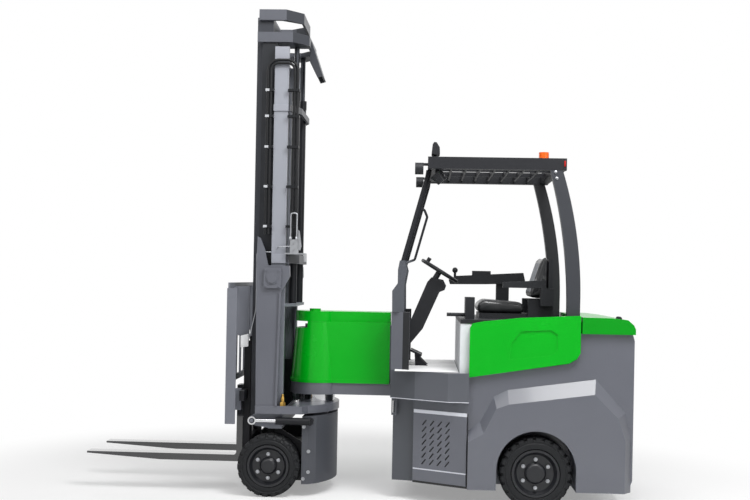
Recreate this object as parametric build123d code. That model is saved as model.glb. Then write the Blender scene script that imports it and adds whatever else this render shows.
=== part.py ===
from build123d import *
import math
import os

# Articulated forklift: a rear chassis with cab, battery and counterweight, hinged at a vertical
# pivot to a front unit that carries the drive wheels and a three-stage mast.
# Frame: +X to the rear, forks towards -X, left side at -Y, +Z up. The origin lies on the floor
# below the middle of the overall box. All sizes in mm.

# Overall layout
OVERALL_LENGTH = 3566
REAR_END_X = OVERALL_LENGTH / 2
FORK_TIP_X = -OVERALL_LENGTH / 2
REAR_AXLE_X = 1174
WHEELBASE = 1719
FRONT_AXLE_X = REAR_AXLE_X - WHEELBASE
PIVOT_X = -272
DRAW_PIN_R = 15
DRAW_PIN_INSET = 60
DRAW_PIN_Z = (405, 565)
POCKET_DEPTH = 110
POCKET_Z = (430, 540)
WEIGHT_SETBACK = 10
WEIGHT_FLOOR_Z = 160
WEIGHT_TOP_Z = 1060
SEAT_GAP = 0.3
RUN_GAP = 0.08
FENDER_HALF = 625

# Wheels: tyre radius, tyre width, outer face, rim radius, bolt circle radius
REAR_TYRE_R = 228.5
REAR_TYRE_W = 165
REAR_TRACK_OUT = FENDER_HALF - 25
REAR_RIM_R = 150
REAR_BOLT_R = 90
FRONT_TYRE_R = 203.5
FRONT_TYRE_W = 145
FRONT_TRACK_OUT = 430
FRONT_RIM_R = 136
FRONT_BOLT_R = 78
BOLT_COUNT = 6
STUB_R = 30

# Rear body
BODY_HALF = FENDER_HALF - 60
BODY_FRONT_X = 745
BODY_FLOOR_Z = 122
ARCH_R = 250
ARCH_Z = 250
ARCH_DEPTH = 230
BAY_FRONT_X = 800
BAY_REAR_X = 1400
BAY_HALF = FENDER_HALF - 240
BAY_TOP_HALF = BODY_HALF - 45
BAY_FLOOR_Z = 300
BAY_LEDGE_Z = 545
PANEL_FRONT_Z = 825
PANEL_REAR_Z = 926
CAP_FRONT_X = 1450
CAP_FLOOR_Z = 1116
CAP_TOP_Z = 1220
WEIGHT_HALF = BODY_HALF - 135
WEIGHT_FRONT_X = 1460

# Cab tub, cowl and guard
TUB_FRONT_X = 243
SILL_Z = 665
FLOOR_Z = 850
COWL_TOP_Z = 1226
COWL_WALL = 25
SEAT_BOX_X = 686
DECK_TOP_Z = 1190
DECK_THICK = 26
GUARD_HALF = FENDER_HALF - 65
COVER_HALF = FENDER_HALF - 25
GUARD_RAIL_W = 60
ROOF_TOP_Z = 2222
ROOF_FLOOR_Z = 2146
ROOF_FRONT_X = 460
ROOF_REAR_X = 1338
FRONT_POST_W = 44
FRONT_POST_OUT = 430
FRONT_TUBE_R = 18
KNEE_Z = 1560
HANDLE_R = 8
FRONT_BEAM_Z = ROOF_FLOOR_Z + 4
BEACON_X = 1240
BEACON_Y = -100
GRILLE_T = 8
GRILLE_H = 460
GRILLE_Z = 368
SLOT_ROWS = 7
SLOT_COLUMNS = 4
SLOT_FIRST_X = -113
SLOT_PITCH_X = 57
SLOT_TOP_Z = 516
SLOT_PITCH_Z = 42
SLOT_LEAN = 50
SLOT_LENGTH = 46
SLOT_WIDTH = 10

# Pivot arm and its covers
ARM_HALF = 138
ARM_REAR_X = 386
ARM_SLOT_HALF = 150
ARM_FLOOR_Z = 652
ARM_PLATE_Z = 730
ARM_TOP_Z = 1142
COVER_WALL = 20
LID_TOP_Z = 1212
LID_THICK = LID_TOP_Z - ARM_TOP_Z - SEAT_GAP
KNOB_X = -289
KNOB_Y = -60
KNOB_R = 38
SLEW_R = 122
COVER_PROUD = 8
COVER_FLARE = 30
WEB_HALF = 70
PIVOT_HOUSING_R = 90
LIP_H = 24
ARM_HEAD_R = 181
PIVOT_PIN_R = 55

# Front unit
PLATE_FLOOR_Z = 546
PLATE_TOP_Z = 597
PLATE_FRONT_X = -635
PLATE_REAR_X = -119
PLATE_HALF = 430
PLATE_NOTCH_X = -398
TOWER_IN = 397
TOWER_OUT = 421
HOUSING_FLOOR_Z = 85
HOUSING_TOP_Z = 528
HOUSING_HALF = 385
HOUSING_FRONT_X = -330
AXLE_TOP_Z = 320
AXLE_HALF = 262
# Gear case side plate above and behind the wheel: x and z of its outline
AXLE_FRONT_X = FRONT_AXLE_X - 30
GEAR_GUARD = ((AXLE_FRONT_X, 120), (AXLE_FRONT_X, 300), (-520, 425), (-474, 425), (-330.3, 340), (-330.3, 90),
              (AXLE_FRONT_X + 24, 90))
TILT_CYL_Z = 498
TILT_CYL_Y = 412
TILT_ROD_R = 14
TILT_BASE_X = -276
TILT_EYE_X = -656

# Mast
PIN_X = -538
PIN_Z = 1430
PIN_R = 30
RAIL_WEB = 15
RAIL_FLANGE = 14
STAGE_GAP = 5
OUTER_HALF = 385
OUTER_RAIL_W = 45
OUTER_X = (-553, -461)
OUTER_Z = (445, 2948)
MID_RAIL_W = 45
MID_X = (-644, -542)
MID_Z = (450, 3030)
INNER_RAIL_W = 45
INNER_X = (-686, -580)
INNER_Z = (455, 3158)
MID_HALF = OUTER_HALF - OUTER_RAIL_W - STAGE_GAP
INNER_HALF = MID_HALF - MID_RAIL_W - STAGE_GAP
CARRIAGE_SIDE_HALF = INNER_HALF - INNER_RAIL_W - 7
CARRIAGE_SIDE_W = 15
LIFT_CYL_Y = 190
LIFT_CYL_X = -432
LIFT_CYL_R = 27
LIFT_ROD_R = 17
FREE_CYL_X = -642
FREE_CYL_R = 45
FREE_ROD_R = 26
FREE_CYL_TOP_Z = 1800
HEAD_Z = 1930
CHAIN_T = 7
CHAIN_W = 20
CHAIN_PITCH = 38
CHAIN_LUG_Z = 712
ANCHOR_Z = 1716
ANCHOR_T = 14
SHEAVE_R = 46
SHEAVE_W = 26
SHEAVE_Y = 80
CHAIN_T = 12
BAND_T = 16
SHELF_T = 18
FOOT_TIE_H = 110
ROLLER_GAP = 0.3
LIFT_CYL_TOP_Z = 2680
MID_ROLLERS = (550, 790)
INNER_ROLLERS = (560, 800)
TILT_PIN_R = 9
# Bowed cross members: front x, side x, back x, foot z, top z
OUTER_BANDS = ((-556, -447, -386, 2526, 2565), (-550, -440, -386, 1529, 1587))
MID_BAND = (-677, -443, -345, 2985, 3051)
INNER_BAND = (-673, -494, -387, 3158, 3208)
BOW_HALF = 235
# Sloping hose guard behind the middle stage's head: x and z of its outline
HOSE_GUARD = ((-383, 3132), (-336, 3020), (-262, 2806), (-300, 2796), (-352, 2900), (-352, 3132))
HOSE_GUARD_HALF = 120
HOSE_GUARD_T = 8
CYL_FOOT_Z = 1245
HOSE_R = 9
HOSE_COUNT = 2
HOSE_PITCH = 20
HOSE_Y = -405
HOSE_FRONT_X = -574
HOSE_REAR_X = -418
HOSE_TOP_Z = 2836
HOSE_END_Z = 1716
HOSE_BEND_R = 50
CLIP_H = 16
CLIP_ZS = (1760, 2020, 2280, 2480, 2650)
VALVE_X = (-428, -376)
VALVE_Z = (1596, 1684)
VALVE_BRACKET_X = -330
CHAIN_W = 16

# Carriage and forks
BAR_X = (-738, -708)
BAR_HALF = 440
BAR_H = 66
CARRIAGE_ROLLERS = (640, 930)
LOWER_BAR_HALF = 268
END_PLATE_GAP = 8
END_PLATE_TOP_Z = 1010
LOWER_BAR_Z = 285
CARRIAGE_HEIGHT = 407
BACKREST_HALF = 500
BACKREST_X = (-820, -755)
BACKREST_Z = (482, 1360)
BACKREST_T = 14
# Webs behind the backrest's top: x and z of their outline
BACKREST_WEB = ((-808, 1060), (-808, 1372), (-700, 1372), (-700, 1040), (-752, 1000), (-752, 1040))
FORK_Y = 230
FORK_WIDTH = 100
FORK_T = 44
FORK_TOP_Z = 250
FORK_SHANK_T = 40
FORK_KNEE_X = -1284
FORK_TIP_T = 12


def block(x0, x1, y0, y1, z0, z1):
    """A box between two corners."""
    return Pos((x0 + x1) / 2, (y0 + y1) / 2, (z0 + z1) / 2) * Box(abs(x1 - x0), abs(y1 - y0), abs(z1 - z0))


def side_profile(points, y0, y1):
    """A plate seen from the side: an outline of (x, z) points between two y planes."""
    face = make_face(Polyline(*points, close=True))
    return Pos(0, y1, 0) * Rot(90, 0, 0) * extrude(face, y1 - y0)


def plan_profile(points, z0, z1):
    """A plate seen from above: an outline of (x, y) points between two heights."""
    face = make_face(Polyline(*points, close=True))
    return Pos(0, 0, z0) * extrude(face, z1 - z0)


def half_plan(points, z0, z1):
    """A symmetric plate from the outline of its left half."""
    mirrored = [(x, -y) for x, y in reversed(points)]
    return plan_profile(list(points) + mirrored, z0, z1)


def y_cylinder(x, z, radius, y0, y1):
    return Pos(x, (y0 + y1) / 2, z) * Rot(90, 0, 0) * Cylinder(radius, abs(y1 - y0))


def x_cylinder(y, z, radius, x0, x1):
    return Pos((x0 + x1) / 2, y, z) * Rot(0, 90, 0) * Cylinder(radius, abs(x1 - x0))


def z_cylinder(x, y, radius, z0, z1):
    return Pos(x, y, (z0 + z1) / 2) * Cylinder(radius, z1 - z0)


def other_side(shape):
    return mirror(shape, about=Plane.XZ)


def both_sides(shape):
    return [shape, other_side(shape)]


def save(name, *solids):
    """Writes one node, flattening any lists into one compound."""
    flat = []
    for item in solids:
        for part in (item if isinstance(item, (list, tuple)) else [item]):
            flat.extend(part.solids())
    shape = flat[0] if len(flat) == 1 else Compound(children=flat)
    export_step(shape, f"parts/{name}.step")


# Wheels
def tyre(x, radius, width, rim_radius, y_out):
    """A solid rubber tyre with chamfered shoulders, revolved about its axle. y_out is its outer face."""
    shoulder = 16
    bead = 24
    points = [
        (rim_radius, 0),
        (radius - bead - shoulder, 0),
        (radius - shoulder / 2, shoulder / 2),
        (radius, shoulder + 6),
        (radius, width - shoulder - 6),
        (radius - shoulder / 2, width - shoulder / 2),
        (radius - bead - shoulder, width),
        (rim_radius, width),
    ]
    ring = revolve(make_face(Polyline(*points, close=True)), Axis.Y)
    return Pos(x, y_out, radius) * ring


def rim(x, radius, width, rim_radius, bolt_radius, y_out):
    """A steel disc wheel: barrel, dished disc, hub with its cap and the wheel bolts."""
    dish = 34
    disc_t = 16
    hub_r = bolt_radius - 24
    points = [
        (STUB_R + RUN_GAP, dish - 22),
        (hub_r - 14, dish - 22),
        (hub_r, dish - 8),
        (hub_r + 4, dish),
        (bolt_radius + 26, dish),
        (rim_radius - 18, dish - 20),
        (rim_radius - 14, 4),
        (rim_radius - SEAT_GAP, 4),
        (rim_radius - SEAT_GAP, width - 4),
        (rim_radius - 14, width - 4),
        (rim_radius - 14, dish + disc_t + 4),
        (bolt_radius + 20, dish + disc_t),
        (hub_r, dish + disc_t),
        (hub_r, width - 30),
        (STUB_R + RUN_GAP, width - 30),
    ]
    body = revolve(make_face(Polyline(*points, close=True)), Axis.Y)
    bolts = []
    for index in range(BOLT_COUNT):
        angle = math.radians(index * 360 / BOLT_COUNT + 30)
        bolt_x = bolt_radius * math.cos(angle)
        bolt_z = bolt_radius * math.sin(angle)
        bolts.append(y_cylinder(bolt_x, bolt_z, 10, dish - 18, dish + 1))
    body = body + bolts
    return Pos(x, y_out, radius) * body


def wheel_set(label, x, radius, width, rim_radius, bolt_radius, track_out):
    """Both wheels of one axle. The right wheel mirrors the left one."""
    left_tyre = tyre(x, radius, width, rim_radius, -track_out)
    left_rim = rim(x, radius, width, rim_radius, bolt_radius, -track_out)
    save(f"{label}_left_tyre", left_tyre)
    save(f"{label}_left_rim", left_rim)
    save(f"{label}_right_tyre", other_side(left_tyre))
    save(f"{label}_right_rim", other_side(left_rim))


def hub_stub(x, z, y_in, y_out):
    """The axle's end that the wheel turns on."""
    return y_cylinder(x, z, STUB_R, y_in, y_out)


# Rear chassis
def fender(side_sign):
    """The bulge over the rear wheel, a ruled loft from the body side out to the fender's crest."""
    base = [(BODY_FRONT_X, BODY_FLOOR_Z), (BODY_FRONT_X, 490), (BODY_FRONT_X + 73, 548), (REAR_AXLE_X - 270, 712),
            (REAR_AXLE_X - 183, 757), (REAR_AXLE_X + 371, 836), (REAR_END_X - 45, 622), (REAR_END_X - 9, 470),
            (REAR_END_X - 9, BODY_FLOOR_Z)]
    crest = [(BODY_FRONT_X, BODY_FLOOR_Z), (BODY_FRONT_X, 424), (BODY_FRONT_X + 97, 476), (REAR_AXLE_X - 254, 636),
             (REAR_AXLE_X - 178, 664), (REAR_AXLE_X + 358, 738), (REAR_END_X - 103, 592), (REAR_END_X - 57, 450),
             (REAR_END_X - 57, BODY_FLOOR_Z)]
    lower = make_face(Polyline(*base, close=True))
    upper = make_face(Polyline(*crest, close=True))
    depth = FENDER_HALF - BODY_HALF + 5
    solid = loft([lower, Pos(0, 0, depth) * upper], ruled=True)
    left = Pos(0, -BODY_HALF + 5, 0) * Rot(90, 0, 0) * solid
    return left if side_sign < 0 else other_side(left)


def body_sides():
    """The rear body's outline seen from the side, at its full width."""
    outline = [
        (BODY_FRONT_X, BODY_FLOOR_Z),
        (BODY_FRONT_X, PANEL_FRONT_Z),
        (1372, PANEL_REAR_Z - 4),
        (1424, PANEL_REAR_Z + 26),
        (1446, PANEL_REAR_Z + 70),
        (1446, CAP_FLOOR_Z - SEAT_GAP),
        (REAR_END_X - 12, CAP_FLOOR_Z - SEAT_GAP),
        (REAR_END_X, CAP_FLOOR_Z - 40),
        (REAR_END_X, BODY_FLOOR_Z + 70),
        (REAR_END_X - 22, BODY_FLOOR_Z + 20),
        (REAR_END_X - 70, BODY_FLOOR_Z),
    ]
    return side_profile(outline, -BODY_HALF, BODY_HALF)


def rear_body():
    """Side walls, wheel arches and rear skin around the battery bay."""
    body = body_sides() + fender(-1) + fender(1)
    for side in (-1, 1):
        arch_in = side * (FENDER_HALF - ARCH_DEPTH)
        arch_out = side * (FENDER_HALF + 5)
        body = body - y_cylinder(REAR_AXLE_X, ARCH_Z, ARCH_R, arch_in, arch_out)
        body = body - block(REAR_AXLE_X - ARCH_R, REAR_AXLE_X + ARCH_R, arch_in, arch_out, 0, ARCH_Z)
    body = body - block(BAY_FRONT_X, BAY_REAR_X, -BAY_HALF, BAY_HALF, BAY_FLOOR_Z, CAP_TOP_Z)
    body = body - block(BAY_FRONT_X, BAY_REAR_X, -BAY_TOP_HALF, BAY_TOP_HALF, BAY_LEDGE_Z, CAP_TOP_Z)
    body = body - y_cylinder(REAR_AXLE_X, REAR_TYRE_R, STUB_R + SEAT_GAP, -BODY_HALF, BODY_HALF)
    body = body - block(WEIGHT_FRONT_X, REAR_END_X + 5, -WEIGHT_HALF, WEIGHT_HALF, WEIGHT_FLOOR_Z,
                        WEIGHT_TOP_Z)
    return body


def counterweight():
    """The cast block between the side skins, with its drawbar pocket and the holes for the pin."""
    back = REAR_END_X - WEIGHT_SETBACK
    floor_z = WEIGHT_FLOOR_Z + SEAT_GAP
    casting = block(WEIGHT_FRONT_X + SEAT_GAP, back, -WEIGHT_HALF + 1, WEIGHT_HALF - 1, floor_z, WEIGHT_TOP_Z - 1)
    pocket = block(back - POCKET_DEPTH, back + 5, -POCKET_DEPTH / 2, POCKET_DEPTH / 2, *POCKET_Z)
    return casting - pocket - z_cylinder(back - DRAW_PIN_INSET, 0, DRAW_PIN_R + SEAT_GAP, *DRAW_PIN_Z)


def drawbar_pin():
    """Round pin that stands in the pocket's floor and roof."""
    back = REAR_END_X - WEIGHT_SETBACK
    return z_cylinder(back - DRAW_PIN_INSET, 0, DRAW_PIN_R, *DRAW_PIN_Z)


def battery():
    return block(BAY_FRONT_X + 12, BAY_REAR_X - 12, -BAY_HALF + 15, BAY_HALF - 15, BAY_FLOOR_Z, 790)


def side_panel():
    """Green panel beside the battery, with its pressed grip recess."""
    outline = [
        (BODY_FRONT_X, PANEL_FRONT_Z + 2),
        (BODY_FRONT_X, 1140),
        (762, 1168),
        (832, 1182),
        (1058, 1208),
        (1440, 1229),
        (1440, 994),
        (1418, PANEL_REAR_Z + 32),
        (1370, PANEL_REAR_Z + 2),
    ]
    panel = side_profile(outline, -COVER_HALF, -BODY_HALF - SEAT_GAP)
    recess = [(994, 944), (1008, 1050), (1066, 1126), (1254, 1136), (1296, 1108), (1296, 1008), (1254, 976)]
    return panel - side_profile(recess, -COVER_HALF - 1, -COVER_HALF + 8)


def rear_cap():
    """Green cover over the counterweight, crowned towards the middle."""
    outline = [
        (CAP_FRONT_X, CAP_FLOOR_Z),
        (CAP_FRONT_X, CAP_TOP_Z),
        (1634, CAP_TOP_Z - 2),
        (1734, CAP_TOP_Z - 12),
        (REAR_END_X - 12, CAP_TOP_Z - 44),
        (REAR_END_X, CAP_TOP_Z - 70),
        (REAR_END_X, CAP_FLOOR_Z),
    ]
    cap = side_profile(outline, -COVER_HALF + 2, COVER_HALF - 2)
    inner_half = COVER_HALF - 40
    return cap - block(CAP_FRONT_X + 30, REAR_END_X - 40, -inner_half, inner_half, CAP_FLOOR_Z - 1,
                       CAP_TOP_Z - 60)


def cab_tub():
    """The lower chassis under the cab: chamfered skirts, sill ledge and floor."""
    lower = [(262, -330), (396, -360), (396, -400), (BODY_FRONT_X, -COVER_HALF + 2)]
    lower_part = half_plan(lower, BODY_FLOOR_Z, SILL_Z)
    upper = [(TUB_FRONT_X, -400), (290, -424), (612, -606), (BODY_FRONT_X, -606)]
    upper_part = half_plan(upper, SILL_Z, FLOOR_Z)
    tub = lower_part + upper_part
    for side in (-1, 1):
        pocket_y0 = side * 300
        pocket_y1 = side * 340
        tub = tub - block(510, 735, pocket_y0, pocket_y1, 160, 600)
    slot_top = ARM_PLATE_Z + SEAT_GAP
    tub = tub - block(TUB_FRONT_X - 1, ARM_REAR_X, -ARM_SLOT_HALF, ARM_SLOT_HALF, ARM_FLOOR_Z - 1, slot_top)
    web_x = TUB_FRONT_X + COWL_WALL
    return tub - block(TUB_FRONT_X - 1, web_x, -ARM_SLOT_HALF, ARM_SLOT_HALF, ARM_FLOOR_Z - 1, FLOOR_Z + 1)


def cowl():
    """The low front wall of the cab with its two side returns."""
    front = block(TUB_FRONT_X, TUB_FRONT_X + COWL_WALL, -400, 400, FLOOR_Z, COWL_TOP_Z)
    wall = front
    for side in (-1, 1):
        return_plan = [(TUB_FRONT_X, side * 400), (290, side * 424), (362, side * 462), (362, side * 437),
                       (295, side * 399), (TUB_FRONT_X, side * 370)]
        wall = wall + plan_profile(return_plan, FLOOR_Z, COWL_TOP_Z)
    return wall - block(TUB_FRONT_X - 1, TUB_FRONT_X + COWL_WALL + 1, -ARM_SLOT_HALF, ARM_SLOT_HALF, FLOOR_Z - 1, LID_TOP_Z + 2)


def seat_box():
    """Perforated front wall of the seat box and the closed sides behind it."""
    return block(SEAT_BOX_X, BODY_FRONT_X + 40, -556, 556, FLOOR_Z, DECK_TOP_Z - DECK_THICK - SEAT_GAP)


def seat_deck():
    """The plate that carries the seat, between the green side panels."""
    deck = block(SEAT_BOX_X, 1442, -560, 560, DECK_TOP_Z - DECK_THICK, DECK_TOP_Z)
    for side in (-1, 1):
        deck = deck - block(1245, 1442 + 1, side * (GUARD_HALF - GUARD_RAIL_W - 5), side * 561, 1000, CAP_TOP_Z)
    return deck


def front_post():
    """Front leg of the guard: a bent knee plate on the cowl and a round tube raked back to the roof."""
    knee = [(246, COWL_TOP_Z), (244, 1362), (279, 1412), (279, 1500), (290, KNEE_Z), (322, KNEE_Z), (338, 1499),
            (321, 1401), (324, COWL_TOP_Z)]
    plate = side_profile(knee, -FRONT_POST_OUT, -FRONT_POST_OUT + FRONT_POST_W)
    tube_y = -FRONT_POST_OUT + FRONT_POST_W / 2
    path = Polyline((302, tube_y, 1510), (462, tube_y, 2108), (478, tube_y, ROOF_TOP_Z))
    tube = sweep(Plane(origin=path @ 0, z_dir=path % 0) * Circle(FRONT_TUBE_R), path=path, transition=Transition.ROUND)
    above = block(400, 560, tube_y - 40, tube_y + 40, FRONT_BEAM_Z - SEAT_GAP, ROOF_TOP_Z + 60)
    return plate + tube - above


def rear_post():
    """Rear leg of the guard, a curved box section that stands on the body's side wall."""
    foot_z = PANEL_REAR_Z + 60
    outer = ThreePointArc((1438, foot_z + 300), (1400, 1790), (1314, ROOF_FLOOR_Z))
    inner = ThreePointArc((1236, ROOF_FLOOR_Z), (1320, 1750), (1356, foot_z + 300))
    top = Line((1314, ROOF_FLOOR_Z), (1236, ROOF_FLOOR_Z))
    left = Line((1356, foot_z + 300), (1356, PANEL_REAR_Z - 40))
    bottom = Line((1356, PANEL_REAR_Z - 40), (1438, PANEL_REAR_Z - 40))
    right = Line((1438, PANEL_REAR_Z - 40), (1438, foot_z + 300))
    face = make_face(Wire([outer, top, inner, left, bottom, right]))
    solid = Rot(90, 0, 0) * extrude(face, GUARD_RAIL_W - 6)
    return Pos(0, -GUARD_HALF + GUARD_RAIL_W - 4, 0) * solid - body_sides()


def guard_roof():
    """Roof frame: two side rails, end beams, cross bars and two long bars."""
    rail_y = GUARD_HALF - GUARD_RAIL_W
    roof = block(ROOF_FRONT_X, ROOF_REAR_X, -GUARD_HALF, -rail_y, ROOF_FLOOR_Z + SEAT_GAP, ROOF_TOP_Z)
    roof = roof + other_side(roof)
    roof = roof + block(ROOF_FRONT_X, ROOF_FRONT_X + 60, -rail_y, rail_y, FRONT_BEAM_Z, ROOF_TOP_Z - 4)
    roof = roof + block(ROOF_REAR_X - 60, ROOF_REAR_X, -rail_y, rail_y, FRONT_BEAM_Z, ROOF_TOP_Z - 4)
    bar_count = 7
    span = ROOF_REAR_X - ROOF_FRONT_X - 120
    for index in range(bar_count):
        bar_x = ROOF_FRONT_X + 60 + span * (index + 1) / (bar_count + 1)
        roof = roof + block(bar_x - 6, bar_x + 6, -rail_y, rail_y, ROOF_FLOOR_Z + 14, ROOF_TOP_Z - 22)
    for bar_y in (-170, 170):
        roof = roof + block(ROOF_FRONT_X + 60, ROOF_REAR_X - 60, bar_y - 6, bar_y + 6, ROOF_FLOOR_Z + 20,
                            ROOF_TOP_Z - 26)
    seat_x = BEACON_X
    seat = block(seat_x - 50, ROOF_REAR_X - 60, BEACON_Y - 45, BEACON_Y + 45, ROOF_TOP_Z - 12, ROOF_TOP_Z)
    return roof + seat


def grab_handle():
    """Bent bar beside the front post, from the knee to half way up."""
    y = -FRONT_POST_OUT + FRONT_POST_W / 2
    path = FilletPolyline(
        (398, y, 1893), (442, y, 1893), (462, y, 1846), (386, y, 1566), (316, y, 1540),
        radius=[14, 18, 18],
    )
    start = Plane(origin=path @ 0, z_dir=path % 0)
    return sweep(start * Circle(HANDLE_R), path=path) - front_post()


def steering_column():
    """Telescopic cover from the cowl up to the wheel."""
    outline = [(272, 985), (330, 1080), (472, 1424), (500, 1456), (580, 1440), (600, 1400), (590, 1370), (556, 1356),
               (446, 1104), (350, 985)]
    cover = side_profile(outline, -62, 62)
    return cover + block(TUB_FRONT_X + COWL_WALL + SEAT_GAP, 350, -62, 62, FLOOR_Z, 985)


def steering_wheel():
    """Three-spoke wheel on its stub, facing up and back to the seat."""
    ring = Torus(135, 12)
    hub = Cylinder(34, 26)
    stub = Pos(0, 0, -50) * Cylinder(20, 100)
    spokes = []
    for angle in (90, 210, 330):
        spokes.append(Rot(0, 0, angle) * Pos(67, 0, 0) * Box(128, 22, 8))
    knob = Pos(-105, 78, 24) * Cylinder(14, 36)
    wheel = ring + hub + stub + spokes + knob
    return Pos(556, 0, 1500) * Rot(0, 31, 0) * wheel - steering_column()


def pedals():
    """Two pedals on their arms, standing on the floor."""
    solids = []
    for pedal_y in (-60, 90):
        arm = side_profile([(400, FLOOR_Z), (490, FLOOR_Z), (440, 900), (410, 950), (394, 942)], pedal_y - 10,
                           pedal_y + 10)
        pad = side_profile([(366, 950), (440, 918), (446, 930), (370, 964)], pedal_y - 35, pedal_y + 35)
        solids.append(arm + pad)
    return solids


def seat_base():
    """Seat suspension box, its rear frame and the belt buckle stalk."""
    lower = block(820, 1290, -210, 210, DECK_TOP_Z, 1224)
    frame = block(1278, 1306, -180, 180, DECK_TOP_Z, 1590)
    side_plates = block(1140, 1306, -236, -212, 1224, 1322) + block(1140, 1306, 212, 236, 1224, 1322)
    return lower + frame + side_plates + block(1140, 1306, -236, 236, DECK_TOP_Z, 1224)


def seat_cushion():
    """Closed form of the seat pad, a low wedge rising to the front."""
    return side_profile([(802, 1224.3), (798, 1280), (840, 1314), (1120, 1296), (1134, 1224.3)], -206, 206)


def seat_back():
    """Closed form of the backrest pad."""
    return side_profile([(1142, 1324), (1226, 1592), (1250, 1626), (1277.7, 1600), (1277.7, 1324)], -200, 200)


def armrests():
    """Near side armrest on its bracket."""
    rest = side_profile([(968, 1396), (968, 1432), (1250, 1450), (1250, 1396)], -300, -240)
    stem = block(1215, 1300, -300, -240, 1280, 1396)
    return rest + stem + block(1215, 1300, -240, -236.3, 1280, 1316)


def control_console():
    """Right hand armrest with the levers for mast and side shift."""
    beam = side_profile([(634, 1410), (624, 1442), (676, 1470), (1148, 1500), (1166, 1424), (876, 1414)], 240, 330)
    post = block(960, 1050, 262, 308, DECK_TOP_Z, 1420)
    knob = z_cylinder(668, 285, 9, 1460, 1500) + Pos(668, 285, 1510) * Sphere(20)
    box = block(790, 920, 262, 330, 1470, 1508)
    return beam + post + knob + box


def side_console():
    """Dark switch box and hand lever left of the seat."""
    box = block(720, 780, -420, -240, DECK_TOP_Z, 1330)
    lever = x_cylinder(-330, 1214, 12, 602, 720)
    return box + lever


def beacon():
    """Orange warning lamp on its foot, standing on the roof's rear cross bar."""
    foot = z_cylinder(BEACON_X, BEACON_Y, 26, ROOF_TOP_Z + SEAT_GAP, ROOF_TOP_Z + 36)
    return foot + z_cylinder(BEACON_X, BEACON_Y, 34, ROOF_TOP_Z + 36, ROOF_TOP_Z + 88)


def roof_mirror():
    """Rear view mirror standing on the roof's front beam, on its short arm."""
    shell = side_profile([(482, 2252), (488, 2312), (498, 2326), (514, 2324), (534, 2292), (536, 2252), (522, 2242)],
                         -470, -330)
    arm = block(484, 512, -412, -388, ROOF_TOP_Z - 4, 2246)
    return shell + arm


def front_lamps():
    """Work lamps on brackets under the roof's front corners."""
    lamps = []
    for side in (-1, 1):
        y = side * 500
        bracket = block(430, ROOF_FRONT_X, y - 20, y + 20, 2170, 2184)
        head = x_cylinder(y, 2150, 38, 378, 432)
        lamps.append(head + bracket)
    return lamps


def down_lamp():
    """Spot lamp under the roof, aimed down and back."""
    head = Pos(534, -470, 2096) * Rot(0, 140, 0) * Cone(46, 34, 66)
    bracket = block(508, 532, -478, -462, 2100, ROOF_FLOOR_Z + 4)
    return head + bracket


def grille_panels():
    """Slotted cooling panels on the chamfered corners of the tub."""
    start = (396, -400)
    end = (BODY_FRONT_X, -COVER_HALF + 2)
    length = math.dist(start, end) - 16
    angle = math.degrees(math.atan2(end[1] - start[1], end[0] - start[0]))
    panel = Box(length, GRILLE_T, GRILLE_H)
    for column in range(SLOT_COLUMNS):
        for row in range(SLOT_ROWS):
            slot_x = SLOT_FIRST_X + column * SLOT_PITCH_X
            slot_z = SLOT_TOP_Z - GRILLE_Z - row * SLOT_PITCH_Z
            panel = panel - Pos(slot_x, 0, slot_z) * Rot(0, -SLOT_LEAN, 0) * Box(SLOT_LENGTH, 4 * GRILLE_T, SLOT_WIDTH)
    middle_x = (start[0] + end[0]) / 2
    middle_y = (start[1] + end[1]) / 2
    left = Pos(middle_x, middle_y, GRILLE_Z) * Rot(0, 0, angle) * Pos(0, -GRILLE_T / 2 - SEAT_GAP, 0) * panel
    return both_sides(left)


def tie_loops():
    """Lashing loops under the sill at the front corners."""
    loops = []
    for side in (-1, 1):
        y = side * 372
        bar = block(252, 284, y - 8, y + 8, 552, SILL_Z)
        bar = bar - block(260, 276, y - 9, y + 9, 566, SILL_Z - 18)
        loops.append(bar)
    return loops


def rear_axle():
    """Dead axle between the rear wheels, with the brake drums inboard."""
    axle = y_cylinder(REAR_AXLE_X, REAR_TYRE_R, STUB_R, -REAR_TRACK_OUT + 14, REAR_TRACK_OUT - 14)
    for side in (-1, 1):
        axle = axle + y_cylinder(REAR_AXLE_X, REAR_TYRE_R, 70, side * (FENDER_HALF - ARCH_DEPTH + SEAT_GAP), side * 430)
    return axle


# Pivot arm
def arm_plan(half_width, front_radius, rear_x):
    """Outline of the arm from above: a round head about the pivot and parallel sides."""
    side_x = PIVOT_X + (front_radius ** 2 - half_width ** 2) ** 0.5
    outline = Polyline((side_x, half_width), (rear_x, half_width), (rear_x, -half_width), (side_x, -half_width))
    head = ThreePointArc((side_x, -half_width), (PIVOT_X - front_radius, 0), (side_x, half_width))
    return make_face(outline.edges() + [head])


def pivot_arm():
    """The chassis arm that reaches over the front unit and holds the pivot bearings."""
    arm = Pos(0, 0, ARM_FLOOR_Z) * extrude(arm_plan(ARM_HALF, ARM_HEAD_R, ARM_REAR_X), ARM_PLATE_Z - ARM_FLOOR_Z)
    web_top = ARM_TOP_Z - COVER_WALL
    web = block(PIVOT_X + 70, TUB_FRONT_X + COWL_WALL - 30, -WEB_HALF, WEB_HALF, ARM_PLATE_Z, web_top)
    head = z_cylinder(PIVOT_X, 0, PIVOT_HOUSING_R, ARM_PLATE_Z, web_top)
    arm = arm + web + head
    return arm - z_cylinder(PIVOT_X, 0, PIVOT_PIN_R + RUN_GAP, 0, 2000)


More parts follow.
